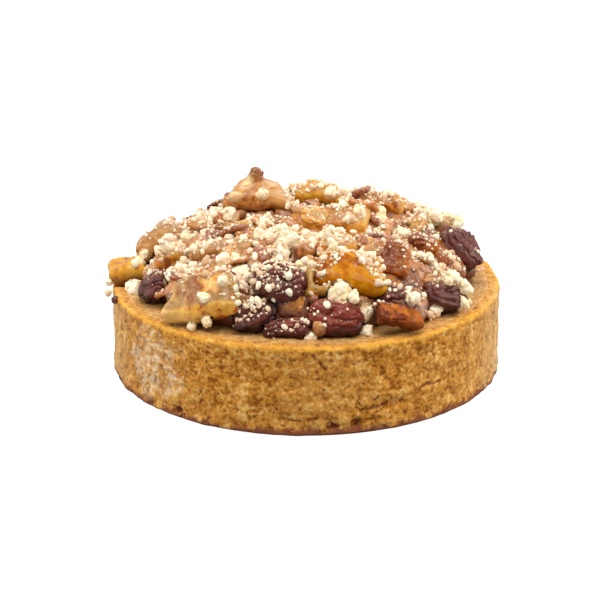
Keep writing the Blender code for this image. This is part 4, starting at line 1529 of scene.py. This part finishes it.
    def apples(self, nuggets: list[Nugget]) -> list[bpy.types.Object]:
        """Makes the large pieces of apple.

        Args:
            nuggets: The nuggets on the heap.

        Returns:
            The pieces.
        """
        materials = {tone: AppleFinish(tone).material() for tone in AppleTone}
        dusts = {AppleTone.HONEY: self.honey_dust}
        relief = Relief(self.seed)
        pieces = []
        for node, tone in self.tones.items():
            clean = node in self.clean
            skin = Skin.of_node(node, self.apple_grain)
            skin.soften(9 if clean else 16, 0.2)
            crumb = crumb_mask(skin.points, nuggets)
            if node == "apple_peak":
                self.raise_peak(skin)
            rough = self.apple_relief(skin.points, tone, relief) - self.slim.get(node, 0.0)
            skin.push(rough * (1 - crumb) - 0.7 * crumb)
            away = np.linalg.norm(skin.points[:, :2] - self.knob[:2], axis=1)
            dome = self.tallest + 0.2 * relief.at(skin.points, 1.0) - 0.25 * np.minimum(away, 2.0) ** 2
            skin.points[:, 2] = np.minimum(skin.points[:, 2], dome)
            dustiness = self.clean_dust if clean else dusts.get(tone, self.apple_dust)
            lit_way = self.lit_ways.get(node, (1.0, 0.0, 0.0))
            shade = self.pale_foot_shade if tone is AppleTone.PALE else self.foot_shade
            self.masks(skin, nuggets, relief, dustiness, lit_way, shade)
            pieces.append(skin.dress(node.replace("apple", "stewed", 1), materials[tone], "apple", (node,)))
        return pieces

    def raise_peak(self, skin: Skin) -> None:
        """Draws the top piece's shoulders up to its tip, and narrows its knob."""
        away = np.linalg.norm(skin.points[:, :2] - self.tip[:2], axis=1)
        share = smooth_step(away, self.shoulder, 1.0) * smooth_step(skin.normals()[:, 2], -0.2, 0.5)
        goal = self.tip[2] - self.slope * away
        goal = np.where(away < self.knob_width / 2, skin.points[:, 2], goal)
        skin.points[:, 2] += share * np.clip(goal - skin.points[:, 2], -self.drop, self.lift)
        narrow = self.narrowing * smooth_step(skin.points[:, 2], self.knob[2] - 1.2, self.knob[2] - 0.2)
        skin.points[:, :2] -= (skin.points[:, :2] - self.knob[:2]) * narrow[:, None]

    def raisin_relief(self, points: np.ndarray, relief: Relief) -> np.ndarray:
        """How far a raisin stands out over its solid's form, with folds and creases that run along it.

        Args:
            points: Its points.
            relief: The unevenness of them all.

        Returns:
            The distance at each point, in millimetres.
        """
        middle = points.mean(axis=0)
        _, axes = np.linalg.eigh(np.cov((points - middle).T))
        own = (points - middle) @ axes + middle[0]
        warped = own + relief.raised(own, self.raisin_bends)[:, None]
        rough = self.plumpness
        for depth, width, size in (self.folds, self.creases):
            rough = rough - depth * np.exp(-((relief.at(warped, size) / width) ** 2))
        return rough + relief.raised(own, self.raisin_dents)

    def raisins(self, nuggets: list[Nugget]) -> list[bpy.types.Object]:
        """Makes the raisins.

        Args:
            nuggets: The nuggets on the heap.

        Returns:
            The pieces.
        """
        materials = {share: RaisinFinish(share).material() for share in (self.hardly_red, self.rather_red)}
        relief = Relief(self.seed + 1)
        pieces = []
        for node in sorted(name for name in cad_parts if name.startswith("raisin")):
            skin = Skin.of_node(node, self.raisin_grain)
            skin.soften(6, 0.14)
            crumb = crumb_mask(skin.points, nuggets)
            skin.push(self.raisin_relief(skin.points, relief) * (1 - crumb) - 0.6 * crumb)
            self.masks(skin, nuggets, relief, self.raisin_dust)
            material = materials[self.rather_red if node in self.red_raisins else self.hardly_red]
            pieces.append(skin.dress(node.replace("raisin", "plump_raisin", 1), material, "raisin", (node,)))
        return pieces

    def core(self, nuggets: list[Nugget], pieces: list[bpy.types.Object]) -> bpy.types.Object:
        """Makes the compote, which has sunk in between the pieces and clings to them.

        Args:
            nuggets: The nuggets on the heap.
            pieces: The pieces of apple and the raisins.

        Returns:
            The piece.
        """
        relief = Relief(self.seed + 2)
        skin = Skin.of_node("apple_heap", self.core_grain)
        skin.soften(3, 0.3)
        crumb = crumb_mask(skin.points, nuggets)
        rough = relief.raised(skin.points, self.core_lumps, self.core_dents)
        above_cream = smooth_step(skin.points[:, 2], *self.core_foot)
        skin.push(((rough + self.cling) * (1 - crumb) - 0.6 * crumb) * above_cream)
        ground, up = Ground(pieces), Vector((0, 0, 1))
        rise = np.zeros(len(skin.points))
        for number in np.flatnonzero((skin.normals()[:, 2] > 0.3) & (above_cream > 0.5)):
            start = Vector(skin.points[number])
            hit = ground.hit(start, up)
            if hit:
                rise[number] = min(hit[0].z - start.z, self.overhang)
        skin.points[:, 2] += skin.averaged(rise, 5) * self.fill
        self.masks(skin, nuggets, relief, self.apple_dust)
        return skin.dress("compote", CompoteFinish().material(), "compote", ("apple_heap",))


def ball(level: int) -> tuple[np.ndarray, np.ndarray]:
    """An even ball of triangles.

    Args:
        level: How fine it is.

    Returns:
        The directions of its points, and its faces.
    """
    if level == 0:
        upper = [(0, 1, 2), (1, 3, 2), (3, 4, 2), (4, 0, 2)]
        lower = [(1, 0, 5), (3, 1, 5), (4, 3, 5), (0, 4, 5)]
        return np.concatenate([np.eye(3), -np.eye(3)]), np.array(upper + lower)
    shape = bmesh.new()
    bmesh.ops.create_icosphere(shape, subdivisions=level, radius=1.0)
    points = np.array([vertex.co[:] for vertex in shape.verts])
    faces = np.array([[vertex.index for vertex in face.verts] for face in shape.faces])
    shape.free()
    return points / np.linalg.norm(points, axis=1, keepdims=True), faces


@dataclass
class Gathering:
    """Many small closed shapes that become one mesh."""

    points: list
    faces: list
    masks: dict
    count: int = 0

    @classmethod
    def empty(cls, masks: Iterable[str]) -> "Gathering":
        """Starts one with these masks."""
        return cls([], [], {name: [] for name in masks})

    def add(self, points: np.ndarray, faces: np.ndarray, **masks: object) -> None:
        """Adds one shape.

        Args:
            points: Its points.
            faces: Its faces.
            masks: For each mask, its value or values.
        """
        self.points.append(points)
        self.faces.append(faces + self.count)
        self.count += len(points)
        for name, value in masks.items():
            self.masks[name].append(np.broadcast_to(value, len(points)))

    def dress(self, name: str, material: bpy.types.Material, slot: str) -> bpy.types.Object:
        """Makes the piece of them all."""
        skin = Skin.of_shape(np.concatenate(self.points), np.concatenate(self.faces).tolist())
        for mask, values in self.masks.items():
            skin.paint(mask, np.concatenate(values))
        return skin.dress(name, material, slot)


def turned(points: np.ndarray, draw: np.random.Generator) -> np.ndarray:
    """Points turned any way round, as it is drawn."""
    turn = Euler(draw.uniform(0, math.tau, 3)).to_matrix()
    return points @ np.array(turn).T


def laid(points: np.ndarray, place: Vector, normal: Vector, spin: float) -> np.ndarray:
    """Points that are flat in x and y, laid on a surface and turned on it by spin radians."""
    turn = normal.to_track_quat("Z", "Y").to_matrix() @ Matrix.Rotation(spin, 3, "Z")
    return points @ np.array(turn).T + np.array(place)


@dataclass(frozen=True)
class CrumbSize:
    """One size of crumb.

    Attributes:
        name: The name of the piece that they all are.
        count: How many there are.
        widths: The least and the most width, in millimetres.
        level: How fine the mesh of one is.
        grain: The width of the unevenness of its colour, in millimetres.
    """

    name: str
    count: int
    widths: tuple
    level: int
    grain: float


@dataclass
class Crumble:
    """The crumble: nuggets, and the crumbs of all sizes that have come off them."""

    nugget_level: int = 4
    nugget_swell: float = 1.15
    nugget_relief: tuple = ((0.14, 0.17), (0.06, 0.08))
    nugget_shapes: tuple = ((1.0, 0.88, 0.78), (1.2, 1.05, 0.95))
    sunk: float = 0.3
    most_freed: float = 0.22
    lobes: tuple = (9, 16)
    lobe_reach: tuple = (0.15, 0.26)
    lobe_radii: tuple = (0.17, 0.28)
    breaks: int = 6
    break_reach: tuple = (0.36, 0.48)
    spread: float = 38.0
    tilt: float = 0.45
    bare_above: float = 41.0
    fan_tip: tuple = (9.4, -23.0, 4.0)
    fan_spread: float = 0.55
    drift_free: float = 0.5
    proud: float = 0.14
    seed: int = 61

    drifts = (
        (-10.5, -34.0, 5.0),
        (30.0, -17.0, 5.0),
        (-4.0, -14.0, 7.5),
        (9.5, -19.0, 4.0),
        (-27.0, -15.0, 5.0),
        (14.0, -4.0, 7.0),
        (-23.0, 0.0, 5.0),
        (-20.0, -24.5, 4.5),
        (-37.0, -7.0, 4.0),
        (-10.0, -4.0, 3.5),
        (2.0, 18.0, 9.0),
        (-18.0, 22.0, 6.0),
        (22.0, 16.0, 6.0),
    )
    bare = (
        (17.5, -21.0, 6.0),
        (-11.0, 3.0, 6.5),
        (-26.5, -31.0, 4.0),
    )

    keeps = {
        "plump_raisin_right": 0.2,
        "plump_raisin_front": 0.4,
        "plump_raisin_left": 0.4,
        "plump_raisin_right_front": 0.6,
        "plump_raisin_centre": 1.0,
        "plump_raisin_front_left": 1.3,
        "stewed_front_right_slab": 0.9,
        "stewed_left_edge": 1.3,
        "stewed_peak": 0.5,
    }
    sizes = (
        CrumbSize("crumble_grains", 1150, (0.8, 2.4), 2, 0.6),
        CrumbSize("crumble_fines", 4000, (0.4, 0.95), 1, 0.4),
        CrumbSize("crumble_powder", 8000, (0.2, 0.38), 0, 0.3),
    )

    def lump(self, directions: np.ndarray, draw: np.random.Generator) -> np.ndarray:
        """The shape of balls clustered round a middle, with some sides broken off flat.

        Args:
            directions: The directions of its points.
            draw: Where its form is drawn from.

        Returns:
            The points of a lump about 1 wide.
        """
        lobes = int(draw.integers(*self.lobes))
        middles = draw.normal(size=(lobes, 3))
        middles *= (draw.uniform(*self.lobe_reach, lobes) / np.linalg.norm(middles, axis=1))[:, None]
        radii = draw.uniform(*self.lobe_radii, lobes)
        along = directions @ middles.T
        inside = radii**2 - ((middles**2).sum(axis=1) - along**2)
        reach = np.where(inside > 0, along + np.sqrt(np.maximum(inside, 0)), 0).max(axis=1)
        breaks = draw.normal(size=(self.breaks, 3))
        facing = directions @ (breaks / np.linalg.norm(breaks, axis=1, keepdims=True)).T
        flat = draw.uniform(*self.break_reach, self.breaks) / np.maximum(facing, 0.3)
        return directions * np.minimum(np.maximum(reach, 0.3), flat.min(axis=1))[:, None]

    def freed(self, nugget: Nugget, ground: Ground) -> np.ndarray:
        """The middle of a nugget, lifted out of a finer surface that has swallowed it."""
        middle = np.array(nugget.middle)
        hit = ground.below(*middle[:2])
        rise = hit[0].z - middle[2] - self.sunk * nugget.width if hit else 0.0
        if 0 < rise < nugget.width:
            middle[2] += min(rise, self.most_freed * nugget.width)
        return middle

    def nuggets(self, places: list[Nugget], ground: Ground) -> bpy.types.Object:
        """Makes the larger lumps.

        Args:
            places: Where they lie and how wide they are.
            ground: What they lie on.

        Returns:
            The piece.
        """
        draw = np.random.default_rng(self.seed)
        relief = Relief(self.seed)
        directions, faces = ball(self.nugget_level)
        gathering = Gathering.empty(("tint", "cleft"))
        for place in (place for place in places if place.paleness is None):
            shape = self.lump(directions, draw)
            away = np.linalg.norm(shape, axis=1)
            shape = shape * (1 + relief.raised(shape + place.middle, *self.nugget_relief))[:, None]
            shape = turned(shape * draw.uniform(*self.nugget_shapes), draw)
            points = shape * place.width * self.nugget_swell + self.freed(place, ground)
            # Painted shade: darker between the lobes and on the underside of each nugget.
            cleft = smooth_step(away, 0.42, 0.3) * 0.4 + smooth_step(shape[:, 2], 0.1, -0.4) * 0.6
            gathering.add(points, faces, tint=draw.uniform(0, 0.6), cleft=cleft)
        return gathering.dress("crumble_nuggets", CrumbFinish("crumble", 1.0, 0.3).material(), "crust")

    def near(self, place: Vector, spots: tuple) -> float:
        """How near a place is to some spots, given by their middle in plan and their reach."""
        return sum(math.exp(-((place.x - x) ** 2 + (place.y - y) ** 2) / reach**2) for x, y, reach in spots)

    def likely(self, name: str, place: Vector, normal: Vector, relief: Relief) -> float:
        """How likely a crumb stays where it has fallen.

        Args:
            name: The piece that it fell on.
            place: Where.
            normal: The way out of the surface there.
            relief: The unevenness of the strewing.

        Returns:
            The likelihood.
        """
        clump = float(smooth_step(relief.at(np.array([place]), 8.0), -0.3, 0.5)[0])
        drift = min(1.0, self.drift_free + self.near(place, self.drifts))
        drift = max(0.0, drift * (1 - 0.9 * self.near(place, self.bare)))
        chance = (0.15 + 0.85 * clump) * drift * min(1.0, max(0.15, normal.z * 1.3))
        if name.startswith(("crust", "almond")):
            return chance * 0.1
        if place.z > self.bare_above:
            return 0.0
        if name == "stewed_front_wedge":
            tip_x, tip_y, _ = self.fan_tip
            clear = abs(place.x - tip_x) < self.fan_spread * (tip_y - place.y)
            return 0.0 if clear else 0.4 + self.near(place, (self.fan_tip,))
        return chance * self.keeps.get(name, 1.0)

    def strew(self, ground: Ground, count: int, seed: int) -> list[tuple]:
        """Lets crumbs fall on the tart from all round above.

        Args:
            ground: What they fall on.
            count: How many stay.
            seed: The seed of the draw.

        Returns:
            For each crumb, where it lies and the way out of the surface there.
        """
        draw = np.random.default_rng(seed)
        relief = Relief(self.seed + 1)
        found = []
        while len(found) < count:
            radius, angle = self.spread * math.sqrt(draw.uniform()), draw.uniform(0, math.tau)
            target = Vector((radius * math.cos(angle), radius * math.sin(angle), 25.0))
            lean, turn = abs(draw.normal(0, self.tilt)), draw.uniform(0, math.tau)
            way = Vector((math.sin(lean) * math.cos(turn), math.sin(lean) * math.sin(turn), -math.cos(lean)))
            hit = ground.hit(target - way * 60, way)
            if hit and draw.uniform() < self.likely(hit[2], hit[0], hit[1], relief):
                found.append(hit[:2])
        return found

    def crumbs(self, size: CrumbSize, ground: Ground) -> bpy.types.Object:
        """Makes the crumbs of one size.

        Args:
            size: The size.
            ground: What they lie on.

        Returns:
            The piece.
        """
        seed = self.seed + 10 * self.sizes.index(size)
        draw = np.random.default_rng(seed)
        directions, faces = ball(size.level)
        gathering = Gathering.empty(("tint", "cleft"))
        least, most = size.widths
        for place, normal in self.strew(ground, size.count, seed + 5):
            width = least + (most - least) * draw.uniform() ** 1.7
            shape = directions * draw.uniform(0.38, 0.56, len(directions))[:, None]
            if size.level > 1:
                shape = self.lump(directions, draw) * draw.uniform(0.92, 1.1, len(directions))[:, None]
            shape = turned(shape * draw.uniform((1.0, 0.8, 0.7), (1.2, 1.1, 1.0)), draw) * width
            middle = np.array(place + normal * width * self.proud)
            gathering.add(shape + middle, faces, tint=draw.uniform(), cleft=0.0)
        finish = CrumbFinish(size.name, size.grain, 0.0, SMALL_CRUMBS)
        return gathering.dress(size.name, finish.material(), "crust")


@dataclass
class Shreds:
    """Small shreds of apple that lie on the compote and between the pieces."""

    skyline: Skyline
    count: int = 110
    lengths: tuple = (3.4, 8.0)
    widths: tuple = (2.0, 4.4)
    thickness: tuple = (0.8, 1.6)
    squareness: float = 4.0
    spread: float = 34.0
    highest: float = 37.0
    steepest: float = 0.55
    on_fruit: float = 0.25
    bare: tuple = ("stewed_front_wedge", "stewed_front_right_slab", "stewed_left_edge", "stewed_peak")
    skin_bit: Place = (-41.0, -12.0, 18.6)
    seed: int = 71

    def build(self, ground: Ground) -> bpy.types.Object:
        """Makes the shreds.

        Args:
            ground: What they lie on.

        Returns:
            The piece.
        """
        draw = np.random.default_rng(self.seed)
        relief = Relief(self.seed)
        directions, faces = ball(3)
        gathering = Gathering.empty(("tint", "dust", "gap"))
        made = 0
        while made < self.count:
            radius, angle = self.spread * math.sqrt(draw.uniform()), draw.uniform(0, math.tau)
            hit = ground.below(radius * math.cos(angle), radius * math.sin(angle))
            if hit is None or hit[0].z >= self.highest or hit[1].z <= self.steepest or hit[2] in self.bare:
                continue
            on_fruit = hit[2].startswith("stewed") and draw.uniform() < self.on_fruit
            if hit[2] != "compote" and not on_fruit:
                continue
            size = [draw.uniform(*limits) for limits in (self.lengths, self.widths, self.thickness)]
            square = (np.abs(directions) ** self.squareness).sum(axis=1) ** (-1 / self.squareness)
            shape = directions * square[:, None] * np.array(size) / 2
            shape = shape + relief.at(shape + made * 10.0, 2.4)[:, None] * directions * 0.7
            shape[:, 2] += draw.uniform(-0.06, 0.02) * shape[:, 0] ** 2
            place = hit[0] + hit[1] * size[2] * 0.1
            points = laid(shape, place, hit[1], draw.uniform(0, math.tau))
            dust = smooth_step(points[:, 2] - place.z, 0.0, 0.6) * draw.uniform(0.0, 0.7)
            # The gap mask: painted shade by how deep each shred lies in the heap's gaps.
            gathering.add(points, faces, tint=draw.uniform(), dust=dust, gap=self.skyline.gap(points))
            made += 1
        skin_bit = directions * (1.0, 0.8, 0.9) * (1 + 0.3 * relief.at(directions, 0.9))[:, None]
        gathering.add(skin_bit + self.skin_bit, faces, tint=0.0, dust=0.0, gap=0.0)
        return gathering.dress("apple_shreds", ShredFinish().material(), "apple")


@dataclass
class Studio:
    """The camera at the photo's view, the white floor and the soft lights."""

    lens: float = 114.1
    distance: float = 429.8
    elevation: float = 20.3
    aim_height: float = 13.03
    aside: float = -0.2445
    floor_width: float = 3000.0
    overhead: float = 0.9
    around: float = 0.5
    before: float = 0.7

    def camera(self) -> None:
        """Puts the camera in place."""
        data = bpy.data.cameras.new("camera")
        data.lens = self.lens
        data.clip_start = 0.01
        camera = bpy.data.objects.new("camera", data)
        rise = math.radians(self.elevation)
        ahead, height = self.distance * math.cos(rise), self.aim_height + self.distance * math.sin(rise)
        camera.location = Vector((self.aside, -ahead, height)) * MM
        camera.rotation_euler = (math.radians(90 - self.elevation), 0, 0)
        bpy.context.scene.collection.objects.link(camera)
        bpy.context.scene.camera = camera

    def floor(self) -> None:
        """Lays the floor."""
        half = self.floor_width / 2
        corners = [(-half, -half), (half, -half), (half, half), (-half, half)]
        skin = Skin.of_shape(np.array([(x, y, -0.02) for x, y in corners]), [(0, 1, 2, 3)])
        skin.mesh.vertices.foreach_set("co", (skin.points * MM).reshape(-1))
        skin.mesh.materials.append(FloorFinish().material())
        skin.mesh.update()
        floor = bpy.data.objects.new("floor", skin.mesh)
        bpy.context.scene.collection.objects.link(floor)
        floor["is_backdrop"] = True

    def light(self, name: str, place: Place, width: float, power: float) -> None:
        """Hangs one soft light that shines at the tart.

        Args:
            name: Its name.
            place: Where it hangs, in millimetres.
            width: Its width, in millimetres.
            power: Its power in watts.
        """
        data = bpy.data.lights.new(name, "AREA")
        data.shape = "SQUARE"
        data.size = width * MM
        data.energy = power
        light = bpy.data.objects.new(name, data)
        light.location = Vector(place) * MM
        light.rotation_mode = "QUATERNION"
        aim = Vector((0, 0, self.aim_height)) - Vector(place)
        light.rotation_quaternion = aim.to_track_quat("-Z", "Y")
        bpy.context.scene.collection.objects.link(light)

    def surround(self) -> None:
        """Makes surroundings that look white, and that light the tart most from overhead and least from before."""
        world = bpy.data.worlds.new("studio")
        world.use_nodes = True
        bpy.context.scene.world = world
        wiring = Wiring(world.node_tree)
        output = next(node for node in world.node_tree.nodes if node.type == "OUTPUT_WORLD")
        way = wiring.add("SeparateXYZ", {0: wiring.add("TexCoord", {}).outputs["Generated"]}).outputs
        shares = []
        for value, low, high, dim, bright in (
            (way[2], -0.2, 0.9, self.around, self.overhead),
            (way[1], -0.9, 0.3, self.before, 1.0),
        ):
            feeds = {"Value": value, "From Min": low, "From Max": high, "To Min": dim, "To Max": bright}
            shares.append(wiring.add("MapRange", feeds).outputs[0])
        strength = wiring.maths("MULTIPLY", *shares)
        lit = wiring.add("Background", {"Color": (1, 1, 1, 1), "Strength": strength})
        shown = wiring.add("Background", {"Color": (1, 1, 1, 1), "Strength": 1.0})
        eye = wiring.add("LightPath", {}).outputs["Is Camera Ray"]
        mix = wiring.add("MixShader", {0: eye, 1: lit.outputs[0], 2: shown.outputs[0]})
        world.node_tree.links.new(mix.outputs[0], output.inputs[0])

    def build(self) -> None:
        """Sets up the whole studio."""
        bpy.context.scene.view_settings.view_transform = "Standard"
        self.camera()
        self.floor()
        self.surround()
        self.light("key", (-10.0, -200.0, 600.0), 400.0, 2.75)
        self.light("back", (120.0, 420.0, 420.0), 320.0, 1.0)
        self.light("left", (-620.0, 40.0, 160.0), 400.0, 1.8)
        self.light("right", (620.0, 20.0, 180.0), 400.0, 2.1)


def write_sizes() -> None:
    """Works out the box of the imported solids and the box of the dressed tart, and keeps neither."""
    boxes = {"cad": CAD_BOX, "visual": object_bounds()}
    {name: [list(corner) for corner in box] for name, box in boxes.items()}


def main() -> None:
    """Builds the tart from its shell up, and then the studio round it."""
    logging.basicConfig(level=logging.INFO, format="%(message)s")
    nuggets = NuggetPlaces().find(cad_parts.values())
    LOG.info("%d nuggets", len(nuggets))
    pieces = [CrustShell().build(), AlmondCream().build()]
    skyline = Skyline(Ground(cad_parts.values()), AlmondCream.top)
    fruit = FruitPieces(skyline)
    pieces += fruit.raisins(nuggets)
    pieces += fruit.apples(nuggets)
    pieces.append(fruit.core(nuggets, pieces[2:]))
    pieces.append(Shreds(skyline).build(Ground(pieces)))
    crumble = Crumble()
    pieces.append(crumble.nuggets(nuggets, Ground(pieces)))
    ground = Ground(pieces)
    for size in crumble.sizes:
        crumble.crumbs(size, ground)
    Studio().build()
    write_sizes()


if __name__ == "__main__":
    main()
